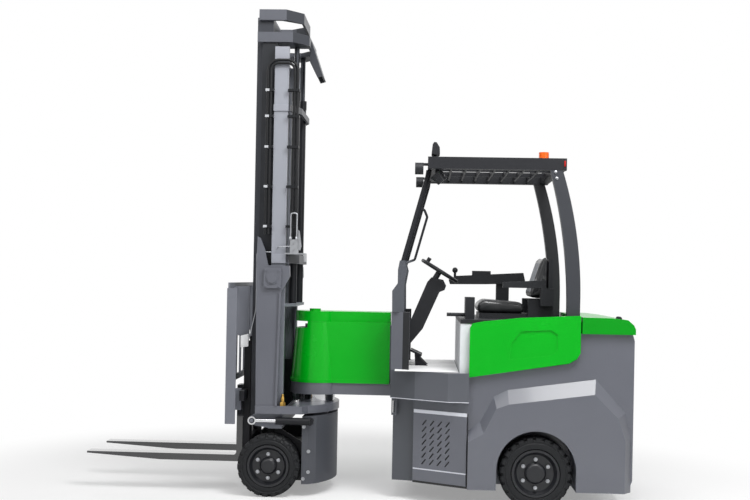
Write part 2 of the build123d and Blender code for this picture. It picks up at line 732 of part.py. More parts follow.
def arm_cover():
    """Green cover round the arm. It flares towards its foot."""
    foot_z = ARM_PLATE_Z + SEAT_GAP
    half = ARM_HALF + COVER_PROUD
    rear_x = TUB_FRONT_X - 16
    shells = []
    for wall, back_x in ((0, rear_x), (COVER_WALL, rear_x + 5)):
        foot = Pos(0, 0, foot_z) * arm_plan(half - wall, ARM_HEAD_R - wall, back_x)
        top = Pos(0, 0, ARM_TOP_Z) * arm_plan(half - wall - COVER_FLARE / 3, ARM_HEAD_R - wall - COVER_FLARE, back_x)
        shells.append(loft([foot, top], ruled=True))
    lip = Pos(0, 0, foot_z) * extrude(arm_plan(half + 5, ARM_HEAD_R + 4, rear_x), LIP_H)
    notch = block(PIVOT_X - 300, PIVOT_X - 60, -400, 400, ARM_TOP_Z - 44, ARM_TOP_Z + 5)
    return shells[0] + lip - shells[1] - notch


def arm_lid():
    """Green lid over the pivot, with its filler knob."""
    lid = Pos(0, 0, LID_TOP_Z - LID_THICK) * extrude(arm_plan(ARM_HALF - 20, ARM_HEAD_R - 28, TUB_FRONT_X - 16),
                                                     LID_THICK)
    knob = z_cylinder(KNOB_X, KNOB_Y, KNOB_R, LID_TOP_Z, LID_TOP_Z + 16)
    return lid + knob - z_cylinder(PIVOT_X, 0, PIVOT_PIN_R + 15, LID_TOP_Z - LID_THICK - 1, LID_TOP_Z - LID_THICK + 30)


# Front unit
def front_plate():
    """The turntable plate with its two forward arms for the mast cradle."""
    rear = ThreePointArc((-296, -PLATE_HALF + 60), (PLATE_REAR_X, 0), (-296, PLATE_HALF - 60))
    outline = Polyline((-296, PLATE_HALF - 60), (-330, PLATE_HALF), (PLATE_FRONT_X, PLATE_HALF),
                       (PLATE_FRONT_X, -PLATE_HALF), (-330, -PLATE_HALF), (-296, -PLATE_HALF + 60))
    plate = Pos(0, 0, PLATE_FLOOR_Z) * extrude(make_face(outline.edges() + [rear]), PLATE_TOP_Z - PLATE_FLOOR_Z)
    plate = plate - block(PLATE_FRONT_X - 5, PLATE_NOTCH_X, -TOWER_IN + 6, TOWER_IN - 6, 500, 700)
    return plate


def pivot_shaft():
    """The vertical shaft that the front unit steers about, on its bearing ring."""
    ring = z_cylinder(PIVOT_X, 0, SLEW_R, PLATE_TOP_Z, ARM_FLOOR_Z - SEAT_GAP)
    return ring + z_cylinder(PIVOT_X, 0, PIVOT_PIN_R, PLATE_TOP_Z, ARM_TOP_Z + 10)


def mast_cradle():
    """Side towers that hold the mast at its tilt pins."""
    outline = [
        (-634, PLATE_TOP_Z),
        (-645, 1533),
        (-640, 1700),
        (-621, 1690),
        (-592, 1616),
        (-569, 1512),
        (-427, 1512),
        (-424, 1442),
        (-478, 1338),
        (-492, PLATE_TOP_Z),
    ]
    left = side_profile(outline, -TOWER_OUT, -TOWER_IN)
    rear_flange = side_profile([(-492, PLATE_TOP_Z), (-478, 1338), (-490, 1338), (-506, PLATE_TOP_Z)],
                               -TOWER_OUT - 16, -TOWER_OUT)
    box = side_profile([(-592, 1366), (-592, 1494), (-479, 1494), (-479, 1366)], -TOWER_OUT - 24, -TOWER_OUT)
    left = left + box + rear_flange
    pin = y_cylinder(PIN_X, PIN_Z, PIN_R, -OUTER_HALF + 2, -TOWER_OUT - 36)
    return both_sides(left + pin)


def drive_housing():
    """Drive unit casing behind the wheels, round at the back so that it can swing under the arm."""
    rear = ThreePointArc((-240, -HOUSING_HALF + 40), (PLATE_REAR_X - 8, 0), (-240, HOUSING_HALF - 40))
    outline = Polyline((-240, HOUSING_HALF - 40), (-290, HOUSING_HALF), (HOUSING_FRONT_X, HOUSING_HALF),
                       (HOUSING_FRONT_X, -HOUSING_HALF), (-290, -HOUSING_HALF), (-240, -HOUSING_HALF + 40))
    casing = Pos(0, 0, HOUSING_FLOOR_Z) * extrude(make_face(outline.edges() + [rear]), HOUSING_TOP_Z - HOUSING_FLOOR_Z)
    return casing + block(-390, -180, -200, 200, HOUSING_TOP_Z, PLATE_FLOOR_Z)


def drive_axle():
    """Axle beam between the front wheels with the stubs that they turn on."""
    beam = block(AXLE_FRONT_X, HOUSING_FRONT_X - SEAT_GAP, -AXLE_HALF, AXLE_HALF, 120, AXLE_TOP_Z)
    for side in (-1, 1):
        beam = beam + y_cylinder(FRONT_AXLE_X, FRONT_TYRE_R, 62, side * AXLE_HALF, side * (AXLE_HALF + 22))
        guard_y = sorted((side * AXLE_HALF, side * (AXLE_HALF + 14)))
        beam = beam + side_profile(GEAR_GUARD, *guard_y)
        beam = beam + hub_stub(FRONT_AXLE_X, FRONT_TYRE_R, side * AXLE_HALF, side * (FRONT_TRACK_OUT - 14))
    return beam


def tilt_barrels():
    """Tilt cylinder barrels below the plate, pinned to the casing."""
    barrel = x_cylinder(-TILT_CYL_Y, TILT_CYL_Z, 24, -500, TILT_BASE_X)
    barrel = barrel - x_cylinder(-TILT_CYL_Y, TILT_CYL_Z, TILT_ROD_R + RUN_GAP, -501, -300)
    eye = y_cylinder(TILT_BASE_X, TILT_CYL_Z, 24, -TILT_CYL_Y - 14, -HOUSING_HALF)
    return both_sides(barrel + eye)


def tilt_rods():
    """Tilt rods with their eyes at the mast's feet."""
    rod = x_cylinder(-TILT_CYL_Y, TILT_CYL_Z, TILT_ROD_R, TILT_EYE_X + 22, -380)
    eye = y_cylinder(TILT_EYE_X, TILT_CYL_Z, 27, -TILT_CYL_Y - 12, -TILT_CYL_Y + 12)
    rod = rod + eye
    return both_sides(rod - y_cylinder(TILT_EYE_X, TILT_CYL_Z, 18, -TILT_CYL_Y - 13, -TILT_CYL_Y + 13))


# Mast
def channel(x_range, half, depth, z_range):
    """One mast rail: a channel open to the truck's middle."""
    x0, x1 = x_range
    z0, z1 = z_range
    rail = block(x0, x1, -half, -half + RAIL_WEB, z0, z1)
    rail = rail + block(x0, x0 + RAIL_FLANGE, -half, -half + depth, z0, z1)
    return rail + block(x1 - RAIL_FLANGE, x1, -half, -half + depth, z0, z1)


def bow_band(x_front, x_side, x_back, rail_half, side_t, back_half, z0, z1):
    """A cross member that hugs the outside of both rails and bows back round the cylinders."""
    half = rail_half + side_t
    outer = half_plan([(x_front, -half), (x_side, -half), (x_back, -back_half)], z0, z1)
    inner_back = x_back - BAND_T
    inner = half_plan([(x_front - 1, -rail_half), (x_side - side_t, -rail_half), (inner_back, -back_half + 6)],
                      z0 - 1, z1 + 1)
    return outer - inner


def rail_rollers(x_range, rail_half, own_half, heights, own_back):
    """Rollers that run in the next larger channel, each on a stub through its carrier plate.

    rail_half is the outer face of the channel they run in, own_half that of the plate that carries them.
    """
    x0, x1 = x_range
    roller_r = (x1 - x0) / 2 - RAIL_FLANGE - ROLLER_GAP
    centre_x = (x0 + x1) / 2
    solids = []
    for z in heights:
        roller = y_cylinder(centre_x, z, roller_r, -rail_half + RAIL_WEB + 2, -own_half - 2)
        stub = y_cylinder(centre_x, z, 14, -own_half - 2, -own_half + 6)
        solids.append(roller + stub)
    plate_top = max(heights) + 60
    plate_foot = min(heights) - 60
    plate = block(own_back, centre_x + 24, -own_half, -own_half + RAIL_WEB, plate_foot, plate_top)
    return plate + solids


def outer_mast():
    """Outer stage: two channels with tilt feet, foot plate and bowed cross members."""
    rail = channel(OUTER_X, OUTER_HALF, OUTER_RAIL_W, OUTER_Z)
    rail = rail - y_cylinder(PIN_X, PIN_Z, PIN_R + RUN_GAP, -500, -OUTER_HALF + RAIL_WEB)
    front = OUTER_X[0]
    foot = side_profile([(front, 449), (front, 560), (-640, 540), (-676, 520), (-676, 478), (-640, 462)],
                        -OUTER_HALF, -OUTER_HALF + RAIL_WEB)
    eye_pin = y_cylinder(TILT_EYE_X, TILT_CYL_Z, TILT_PIN_R, -TILT_CYL_Y - 18, -OUTER_HALF)
    rail = rail + foot + eye_pin
    stage = rail + other_side(rail)
    for x_front, x_side, x_back, z0, z1 in OUTER_BANDS:
        stage = stage + bow_band(x_front, x_side, x_back, OUTER_HALF, 8, BOW_HALF, z0, z1)
    foot_z = OUTER_Z[0]
    rear = OUTER_X[1]
    tie = block(rear - RAIL_FLANGE, rear, -OUTER_HALF, OUTER_HALF, foot_z, foot_z + FOOT_TIE_H)
    shelf_plan = [(rear - RAIL_FLANGE, -OUTER_HALF), (rear, -OUTER_HALF), (LIFT_CYL_X + LIFT_CYL_R + 6, -LIFT_CYL_Y - 45),
                  (LIFT_CYL_X + LIFT_CYL_R + 6, -LIFT_CYL_Y)]
    shelf = half_plan(shelf_plan, CYL_FOOT_Z, CYL_FOOT_Z + SHELF_T)
    return stage + tie + shelf


def mast_hoses():
    """Two hydraulic hoses: up behind the near outer rail from the valve, over it and down its front."""
    hoses = []
    for index in range(HOSE_COUNT):
        step = index * HOSE_PITCH
        top_z = HOSE_TOP_Z + step
        front_x = HOSE_FRONT_X - step
        rear_x = HOSE_REAR_X + step
        path = FilletPolyline(
            (rear_x, HOSE_Y, VALVE_Z[1] + SEAT_GAP), (rear_x, HOSE_Y, top_z), (front_x, HOSE_Y, top_z),
            (front_x, HOSE_Y, HOSE_END_Z),
            radius=[HOSE_BEND_R + step, HOSE_BEND_R + step],
        )
        hoses.append(sweep(Plane(origin=path @ 0, z_dir=path % 0) * Circle(HOSE_R), path=path))
    return hoses


def hose_clips():
    """Flat clips that hold the hoses to the front and rear flanges of the near outer rail."""
    clips = []
    for clip_z in CLIP_ZS:
        for inner_x, side in ((OUTER_X[0], -1), (OUTER_X[1], 1)):
            base_x = HOSE_FRONT_X if side < 0 else HOSE_REAR_X
            reach = base_x + side * (HOSE_PITCH * (HOSE_COUNT - 1) + HOSE_R + 5)
            clip = block(min(inner_x, reach), max(inner_x, reach), HOSE_Y - HOSE_R - 4, -OUTER_HALF + 12,
                         clip_z, clip_z + CLIP_H)
            for index in range(HOSE_COUNT):
                hose_x = base_x + side * index * HOSE_PITCH
                clip = clip - z_cylinder(hose_x, HOSE_Y, HOSE_R + SEAT_GAP, clip_z - 1, clip_z + CLIP_H + 1)
            clips.append(clip)
    return clips


def lift_valve():
    """Valve block on its bracket plate, which stands on the lower cross member, with its hand lever."""
    band_top = OUTER_BANDS[1][4]
    plate = block(OUTER_X[1], VALVE_BRACKET_X, -424, -300, band_top, VALVE_Z[0])
    plate = plate + block(VALVE_BRACKET_X - 6, VALVE_BRACKET_X, -424, -300, band_top - 46, band_top)
    body = block(VALVE_X[0], VALVE_X[1], -424, -382, *VALVE_Z)
    bolts = []
    for bolt_z in (VALVE_Z[0] + 22, VALVE_Z[0] + 62):
        bolts.append(y_cylinder((VALVE_X[0] + VALVE_X[1]) / 2 - 8, bolt_z, 9, -424, -430))
    lever = side_profile([(VALVE_X[1] - 2, 1622), (VALVE_X[1] + 14, 1612), (VALVE_X[1] + 22, 1640), (VALVE_X[1] + 8, 1740),
                          (VALVE_X[1] - 2, 1748)], -410, -402)
    return plate + body + bolts + lever


def lift_barrels():
    """Main lift cylinders, standing on the outer stage's shelf."""
    foot_z = CYL_FOOT_Z + SHELF_T
    barrel = z_cylinder(LIFT_CYL_X, -LIFT_CYL_Y, LIFT_CYL_R, foot_z, LIFT_CYL_TOP_Z)
    bore = z_cylinder(LIFT_CYL_X, -LIFT_CYL_Y, LIFT_ROD_R + RUN_GAP, foot_z + 40, LIFT_CYL_TOP_Z + 1)
    gland = z_cylinder(LIFT_CYL_X, -LIFT_CYL_Y, LIFT_CYL_R + 3, LIFT_CYL_TOP_Z - 60, LIFT_CYL_TOP_Z)
    return both_sides(barrel + gland - bore)


def lift_rods():
    """Lift rods, fixed under the middle stage's band."""
    head_z = MID_BAND[3]
    rod = z_cylinder(LIFT_CYL_X, -LIFT_CYL_Y, LIFT_ROD_R, CYL_FOOT_Z + 70, head_z)
    return both_sides(rod)


def mid_mast():
    """Middle stage: channels, rollers, foot tie and top band with the rod heads."""
    rail = channel(MID_X, MID_HALF, MID_RAIL_W, MID_Z)
    rail = rail + rail_rollers(OUTER_X, OUTER_HALF, MID_HALF, MID_ROLLERS, MID_X[1])
    stage = rail + other_side(rail)
    x_front, x_side, x_back, z0, z1 = MID_BAND
    half = MID_HALF + BAND_T
    stage = stage + bow_band(x_front, x_side, x_back, MID_HALF, BAND_T, BOW_HALF, z0, z1)
    head_plate = half_plan([(MID_X[1] - 8, -half), (x_side, -half), (x_back, -BOW_HALF)], z0, z0 + 20)
    head_plate = head_plate - block(MID_X[1] + 20, x_back - 8, -130, 130, z0 - 1, z0 + 21)
    tie = block(MID_X[1] - RAIL_FLANGE, MID_X[1], -MID_HALF, MID_HALF, 480, 580)
    guard = side_profile(HOSE_GUARD, -HOSE_GUARD_HALF, HOSE_GUARD_HALF)
    hollow = [(x - HOSE_GUARD_T, z - HOSE_GUARD_T) for x, z in HOSE_GUARD]
    guard = guard - side_profile(hollow, -HOSE_GUARD_HALF + 6, HOSE_GUARD_HALF - 6)
    return stage + head_plate + tie + guard


def inner_mast():
    """Inner stage: channels, rollers, foot tie and top band."""
    rail = channel(INNER_X, INNER_HALF, INNER_RAIL_W, INNER_Z)
    rail = rail + rail_rollers(MID_X, MID_HALF, INNER_HALF, INNER_ROLLERS, INNER_X[1])
    stage = rail + other_side(rail)
    x_front, x_side, x_back, z0, z1 = INNER_BAND
    foot_z = INNER_Z[0]
    stage = stage + bow_band(x_front, x_side, x_back, INNER_HALF, 30, BOW_HALF - 40, z0 - 20, z1)
    tie_top = block(INNER_X[1] - RAIL_FLANGE, INNER_X[1], -INNER_HALF, INNER_HALF, z0 - 120, z0)
    tie_foot = block(INNER_X[1] - RAIL_FLANGE, INNER_X[1], -INNER_HALF, INNER_HALF, foot_z, foot_z + 130)
    shelf = block(FREE_CYL_X - FREE_CYL_R, INNER_X[1], -100, 100, foot_z, foot_z + 20)
    return stage + tie_top + tie_foot + shelf


def free_lift_barrel():
    """Free lift cylinder between the inner rails."""
    foot_z = INNER_Z[0] + 20
    barrel = z_cylinder(FREE_CYL_X, 0, FREE_CYL_R, foot_z, FREE_CYL_TOP_Z)
    clamp = block(FREE_CYL_X, INNER_X[1] - RAIL_FLANGE, -30, 30, foot_z + 20, foot_z + 80)
    bore = z_cylinder(FREE_CYL_X, 0, FREE_ROD_R + RUN_GAP, foot_z + 60, FREE_CYL_TOP_Z + 1)
    anchor = block(FREE_CYL_X - 10, FREE_CYL_X + SHEAVE_R + 2 * CHAIN_T, -SHEAVE_Y - CHAIN_W, SHEAVE_Y + CHAIN_W,
                   ANCHOR_Z - ANCHOR_T, ANCHOR_Z)
    return barrel + clamp + anchor - bore


def free_lift_head():
    """Free lift rod with its crosshead and the two chain sheaves."""
    rod = z_cylinder(FREE_CYL_X, 0, FREE_ROD_R, INNER_Z[0] + 160, HEAD_Z)
    yoke = block(FREE_CYL_X - 28, FREE_CYL_X + 28, -50, 50, HEAD_Z - 50, HEAD_Z + 30)
    axle = y_cylinder(FREE_CYL_X, HEAD_Z, 14, -SHEAVE_Y - SHEAVE_W, SHEAVE_Y + SHEAVE_W)
    head = rod + yoke + axle
    for side in (-1, 1):
        y0 = side * (SHEAVE_Y - SHEAVE_W / 2)
        y1 = side * (SHEAVE_Y + SHEAVE_W / 2)
        head = head + y_cylinder(FREE_CYL_X, HEAD_Z, SHEAVE_R, y0, y1)
    return head


def lift_chains():
    """Leaf chains over the sheaves, from the carriage's lugs up and down again to the barrel's anchor plate."""
    inner_r = SHEAVE_R + SEAT_GAP
    outer_r = inner_r + CHAIN_T
    loop = y_cylinder(FREE_CYL_X, HEAD_Z, outer_r, 0, CHAIN_W) - y_cylinder(FREE_CYL_X, HEAD_Z, inner_r, -1, CHAIN_W + 1)
    loop = loop - block(FREE_CYL_X - 80, FREE_CYL_X + 80, -1, CHAIN_W + 1, HEAD_Z - 80, HEAD_Z)
    front_x = FREE_CYL_X - outer_r
    rear_x = FREE_CYL_X + inner_r
    loop = loop + block(front_x, front_x + CHAIN_T, 0, CHAIN_W, CHAIN_LUG_Z + SEAT_GAP, HEAD_Z)
    loop = loop + block(rear_x, rear_x + CHAIN_T, 0, CHAIN_W, ANCHOR_Z + SEAT_GAP, HEAD_Z)
    notches = []
    notch_count = int((HEAD_Z - CHAIN_LUG_Z) / CHAIN_PITCH)
    for index in range(notch_count):
        notch_z = HEAD_Z - (index + 0.5) * CHAIN_PITCH
        for notch_y in (0, CHAIN_W):
            notches.append(Pos(front_x, notch_y, notch_z) * Box(4 * CHAIN_T, CHAIN_W / 3, CHAIN_PITCH / 3))
    left = Pos(0, -SHEAVE_Y - CHAIN_W / 2, 0) * (loop - notches)
    return both_sides(left)


# Carriage and forks
def carriage():
    """Fork carriage: two bars, uprights, and side plates with rollers in the inner stage."""
    upper_bar_z = LOWER_BAR_Z + CARRIAGE_HEIGHT - BAR_H
    frame = block(BAR_X[0], BAR_X[1], -LOWER_BAR_HALF, LOWER_BAR_HALF, LOWER_BAR_Z, LOWER_BAR_Z + BAR_H)
    frame = frame + block(BAR_X[0], BAR_X[1], -BAR_HALF, BAR_HALF, upper_bar_z, upper_bar_z + BAR_H)
    side_in = CARRIAGE_SIDE_HALF - CARRIAGE_SIDE_W
    for side in (-1, 1):
        frame = frame + block(BAR_X[1], BAR_X[1] + 24, side * side_in, side * CARRIAGE_SIDE_HALF, LOWER_BAR_Z, 1040)
        end_y = sorted((side * (LOWER_BAR_HALF - 14), side * LOWER_BAR_HALF))
        frame = frame + block(BAR_X[0], INNER_X[0] - END_PLATE_GAP, *end_y, LOWER_BAR_Z, END_PLATE_TOP_Z)
        lug_y = sorted((side * (SHEAVE_Y - CHAIN_W), side * (SHEAVE_Y + CHAIN_W)))
        lug_x = FREE_CYL_X - SHEAVE_R + CHAIN_T
        frame = frame + block(BAR_X[1] - 5, lug_x, *lug_y, upper_bar_z, CHAIN_LUG_Z)
    plate_half = INNER_HALF - INNER_RAIL_W - 7
    guides = rail_rollers(INNER_X, INNER_HALF, plate_half, CARRIAGE_ROLLERS, BAR_X[1])
    return frame + guides + other_side(guides)


def load_backrest():
    """Load guard above the carriage: side plates, cross bars and uprights."""
    side_w = BACKREST_X[1] - BACKREST_X[0]
    guard = block(BACKREST_X[0], BACKREST_X[1], -BACKREST_HALF, -BACKREST_HALF + BACKREST_T, *BACKREST_Z)
    guard = guard + other_side(guard)
    bar_front = BACKREST_X[0] + 4
    for z0, z1 in ((560, 640), (740, 780), (1352, 1396)):
        guard = guard + block(bar_front, bar_front + 12, -BACKREST_HALF + BACKREST_T, BACKREST_HALF - BACKREST_T,
                              z0, z1)
    for upright_y in (-330, -165, 0, 165, 330):
        guard = guard + block(bar_front, bar_front + 12, upright_y - 14, upright_y + 14, 780, 1352)
    for side in (-1, 1):
        guard = guard + block(bar_front + 12, BAR_X[0] - SEAT_GAP, side * 340, side * 380, 560, 700)
    for side in (-1, 1):
        web_y = sorted((side * 306, side * 320))
        guard = guard + side_profile(BACKREST_WEB, *web_y)
    return guard


def fork():
    """Forged fork: hooked shank, heel and tapered blade."""
    shank_x1 = BAR_X[0] - SEAT_GAP
    shank_x0 = shank_x1 - FORK_SHANK_T
    floor_z = FORK_TOP_Z - FORK_T
    top_z = LOWER_BAR_Z + CARRIAGE_HEIGHT
    outline = [
        (shank_x1, top_z + 24),
        (shank_x1, floor_z + 40),
        (shank_x1 - 30, floor_z),
        (FORK_KNEE_X, floor_z),
        (FORK_TIP_X, FORK_TOP_Z - FORK_TIP_T),
        (FORK_TIP_X, FORK_TOP_Z),
        (shank_x0 - 12, FORK_TOP_Z),
        (shank_x0, FORK_TOP_Z + 12),
        (shank_x0, top_z + 24),
    ]
    blade = side_profile(outline, -FORK_Y - FORK_WIDTH / 2, -FORK_Y + FORK_WIDTH / 2)
    return blade


def main():
    os.makedirs("parts", exist_ok=True)
    wheel_set("rear", REAR_AXLE_X, REAR_TYRE_R, REAR_TYRE_W, REAR_RIM_R, REAR_BOLT_R, REAR_TRACK_OUT)
    wheel_set("front", FRONT_AXLE_X, FRONT_TYRE_R, FRONT_TYRE_W, FRONT_RIM_R, FRONT_BOLT_R, FRONT_TRACK_OUT)

    save("rear_body", rear_body())
    save("counterweight", counterweight())
    save("drawbar_pin", drawbar_pin())
    save("battery", battery())
    save("side_panels", both_sides(side_panel()))
    save("rear_cap", rear_cap())
    save("cab_tub", cab_tub() + tie_loops())
    save("cowl", cowl())
    save("seat_box", seat_box())
    save("seat_deck", seat_deck())
    save("front_posts", front_post() + grab_handle(), other_side(front_post()))
    save("rear_posts", both_sides(rear_post()))
    save("guard_roof", guard_roof())
    save("steering_column", steering_column())
    save("steering_wheel", steering_wheel())
    save("pedals", pedals())
    save("seat_base", seat_base())
    save("seat_cushion", seat_cushion())
    save("seat_back", seat_back())
    save("seat_controls", armrests(), control_console(), side_console())
    save("beacon", beacon())
    save("roof_mirror", roof_mirror())
    save("work_lamps", front_lamps(), down_lamp())
    save("grille_panels", grille_panels())
    save("rear_axle", rear_axle())
    save("pivot_arm", pivot_arm())
    save("arm_cover", arm_cover())
    save("arm_lid", arm_lid())

    save("front_plate", front_plate())
    save("pivot_shaft", pivot_shaft())
    save("mast_cradle", mast_cradle())
    save("drive_housing", drive_housing())
    save("drive_axle", drive_axle())
    save("tilt_barrels", tilt_barrels())
    save("tilt_rods", tilt_rods())

    save("outer_mast", outer_mast())
    save("mast_hoses", mast_hoses())
    save("hose_clips", hose_clips())
    save("lift_valve", lift_valve())
    save("lift_barrels", lift_barrels())
    save("mid_mast", mid_mast())
    save("lift_rods", lift_rods())
    save("inner_mast", inner_mast())
    save("free_lift_barrel", free_lift_barrel())
    save("free_lift_head", free_lift_head())
    save("lift_chains", lift_chains())
    save("carriage", carriage())
    save("load_backrest", load_backrest())
    save("forks", both_sides(fork()))


main()
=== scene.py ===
import bpy
import bmesh
import math
from mathutils import Matrix, Vector


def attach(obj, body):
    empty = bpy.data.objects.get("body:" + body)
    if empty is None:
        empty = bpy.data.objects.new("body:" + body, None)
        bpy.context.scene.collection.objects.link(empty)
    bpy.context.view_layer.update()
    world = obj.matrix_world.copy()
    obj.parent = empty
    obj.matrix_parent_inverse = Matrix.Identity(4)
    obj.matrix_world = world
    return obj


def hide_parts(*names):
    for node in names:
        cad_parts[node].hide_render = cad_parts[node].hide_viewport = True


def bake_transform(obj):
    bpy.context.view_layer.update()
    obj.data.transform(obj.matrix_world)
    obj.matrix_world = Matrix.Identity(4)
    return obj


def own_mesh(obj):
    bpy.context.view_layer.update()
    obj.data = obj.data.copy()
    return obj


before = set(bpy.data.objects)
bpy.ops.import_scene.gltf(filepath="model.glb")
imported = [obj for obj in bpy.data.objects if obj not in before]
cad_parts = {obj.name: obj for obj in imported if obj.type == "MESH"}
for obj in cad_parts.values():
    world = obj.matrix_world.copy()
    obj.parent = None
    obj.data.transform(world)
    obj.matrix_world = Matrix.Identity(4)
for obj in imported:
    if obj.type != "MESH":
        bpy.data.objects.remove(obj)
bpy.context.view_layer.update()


# Chassis, counterweight and mast plates
# Welded plate and castings, sprayed with a satin slate grey coat. The coat has a faint orange
# peel and small changes of tone, and its edges are painted paler as a painted highlight.
def srgb(code):
    """An sRGB hex colour as linear values with alpha."""
    values = [int(code[i:i + 2], 16) / 255 for i in (0, 2, 4)]
    linear = [v / 12.92 if v <= 0.04045 else ((v + 0.055) / 1.055) ** 2.4 for v in values]
    return (*linear, 1.0)


def node(tree, kind, settings=None, inputs=None, links=None):
    """Adds a node with its settings and links. A link is input name: (node, output name)."""
    made = tree.nodes.new(kind)
    for key, value in (settings or {}).items():
        setattr(made, key, value)
    for key, value in (inputs or {}).items():
        made.inputs[key].default_value = value
    for key, (source, output) in (links or {}).items():
        tree.links.new(source.outputs[output], made.inputs[key])
    return made


def new_material(name):
    """An empty node material with its shader and output."""
    material = bpy.data.materials.new(name)
    material.use_nodes = True
    tree = material.node_tree
    tree.nodes.clear()
    shader = node(tree, "ShaderNodeBsdfPrincipled")
    node(tree, "ShaderNodeOutputMaterial", links={"Surface": (shader, "BSDF")})
    return material, tree, shader


# Noise scale of a grain 1 mm wide: two grains lie in one cell of the noise.
MM_GRAIN_SCALE = 500.0


def sprayed_steel(name, colour, shade, rough, peel_mm=2.5, peel=0.12, edge_highlight=0.35, zones=(), coat=0.0,
                  shine=0.35):
    """Sprayed steel: two close tones, orange peel, edges painted paler as a painted highlight. zones are
    (axis, test, (place and half width in m), colour) where a piece's colour changes, the last zone on top;
    some are real colour, others painted light and shade."""
    material, tree, shader = new_material(name)
    place = node(tree, "ShaderNodeTexCoord")
    cloud = node(tree, "ShaderNodeTexNoise", inputs={"Scale": 3.0, "Detail": 4.0, "Roughness": 0.6},
                 links={"Vector": (place, "Object")})
    tone = node(tree, "ShaderNodeMix", {"data_type": "RGBA"}, links={"Factor": (cloud, "Fac")})
    tone.inputs[6].default_value = srgb(shade)
    tone.inputs[7].default_value = srgb(colour)
    base = tone
    split = node(tree, "ShaderNodeSeparateXYZ", links={"Vector": (place, "Object")})
    for axis, test, limits, zone_colour in zones:
        inside = node(tree, "ShaderNodeMath", {"operation": test}, {1: limits[0], 2: limits[-1]},
                      {0: (split, axis)})
        layer = node(tree, "ShaderNodeMix", {"data_type": "RGBA"}, links={"Factor": (inside, "Value")})
        tree.links.new(base.outputs[2], layer.inputs[6])
        layer.inputs[7].default_value = srgb(zone_colour)
        base = layer
    # Painted highlight: where the bevelled normal turns away from the face normal, at sharp edges, the colour
    # is painted paler.
    bevel = node(tree, "ShaderNodeBevel", {"samples": 4}, {"Radius": 0.004})
    shape = node(tree, "ShaderNodeNewGeometry")
    away = node(tree, "ShaderNodeVectorMath", {"operation": "DOT_PRODUCT"},
                links={0: (bevel, "Normal"), 1: (shape, "Normal")})
    edge = node(tree, "ShaderNodeMapRange",
                inputs={"From Min": 0.99, "From Max": 0.86, "To Min": 0.0, "To Max": edge_highlight},
                links={"Value": (away, "Value")})
    highlighted_edges = node(tree, "ShaderNodeMix", {"data_type": "RGBA"}, links={"Factor": (edge, "Result")})
    tree.links.new(base.outputs[2], highlighted_edges.inputs[6])
    pale = [min(1.0, c * 1.8 + 0.03) for c in srgb(colour)[:3]]
    highlighted_edges.inputs[7].default_value = (*pale, 1.0)
    tree.links.new(highlighted_edges.outputs[2], shader.inputs["Base Color"])
    haze = node(tree, "ShaderNodeMapRange", inputs={"To Min": rough - 0.05, "To Max": rough + 0.08},
                links={"Value": (cloud, "Fac")})
    tree.links.new(haze.outputs["Result"], shader.inputs["Roughness"])
    grain = node(tree, "ShaderNodeTexNoise", inputs={"Scale": MM_GRAIN_SCALE / peel_mm, "Detail": 2.0},
                 links={"Vector": (place, "Object")})
    bump = node(tree, "ShaderNodeBump", inputs={"Strength": peel, "Distance": 0.001},
                links={"Height": (grain, "Fac")})
    tree.links.new(bump.outputs["Normal"], shader.inputs["Normal"])
    shader.inputs["Specular IOR Level"].default_value = shine
    shader.inputs["Coat Weight"].default_value = coat
    shader.inputs["Coat Roughness"].default_value = 0.1
    return material


def dress(material, *names):
    """Gives CAD nodes their material."""
    for name in names:
        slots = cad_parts[name].data.materials
        slots.clear()
        slots.append(material)


SLATE = "63656D"
SLATE_SHADE = "5B5D65"
EDGE_LIGHT = "C2C4CC"
POST_BLACK = "1C1D20"

# A satin clear layer over slate grey: wide soft lights and cool middle tones.
slate_coat = sprayed_steel("slate satin coat", SLATE, SLATE_SHADE, 0.34, coat=0.3)
dress(slate_coat, "rear_body", "mast_cradle", "pivot_arm", "front_plate")

# The tub's slate is painted a little darker than the body's as painted shade. It has more painted shade at
# its nose, a black painted shadow under its skirt, and a painted highlight along its lower fold.
SKIRT_FOOT = 0.595
TUB_NOSE = 0.402
TUB_FOLD = (0.6655, 0.0045)
tub_coat = sprayed_steel("slate tub coat", "575960", "505359", 0.34, coat=0.3,
                         zones=(("Z", "LESS_THAN", (SKIRT_FOOT,), "0C0C0E"),
                                ("X", "LESS_THAN", (TUB_NOSE,), "45484E"),
                                ("Z", "COMPARE", TUB_FOLD, EDGE_LIGHT)))
dress(tub_coat, "cab_tub")

# The slotted panels carry painted highlights along their folded edges at the top and foot.
PANEL_LIP = 0.576
PANEL_FOLD = (0.215, 0.004)
grille_coat = sprayed_steel("slate grille coat", SLATE, SLATE_SHADE, 0.34, coat=0.3,
                            zones=(("Z", "GREATER_THAN", (PANEL_LIP,), "CFD1D9"),
                                   ("Z", "COMPARE", PANEL_FOLD, EDGE_LIGHT)))
dress(grille_coat, "grille_panels")

# The cowl's rear edge carries a black trim, which reads as a dark upright line.
COWL_TRIM = 0.318
cowl_coat = sprayed_steel("slate cowl coat", SLATE, SLATE_SHADE, 0.34, coat=0.3,
                          zones=(("X", "GREATER_THAN", (COWL_TRIM,), POST_BLACK),))
dress(cowl_coat, "cowl")

# The rear posts are dark slate; the far one is painted black as painted shade.
MIDDLE_Y = 0.0
post_coat = sprayed_steel("dark slate post coat", "35373C", "303237", 0.4,
                          zones=(("Y", "GREATER_THAN", (MIDDLE_Y,), POST_BLACK),))
dress(post_coat, "rear_posts")

# The front posts are black tubes on a slate foot.
POST_FOOT = 1.56
knee_coat = sprayed_steel("front post coat", "212226", "1A1B1F", 0.36, edge_highlight=0.4, shine=0.2,
                          zones=(("Z", "LESS_THAN", (POST_FOOT,), "505359"),))
dress(knee_coat, "front_posts")

# Paint over a sand cast skin: dull, with a coarse, soft grain.
cast_coat = sprayed_steel("painted casting", "4B4D53", "44464C", 0.45, peel_mm=6.0, peel=0.3)
dress(cast_coat, "counterweight", "drive_housing")
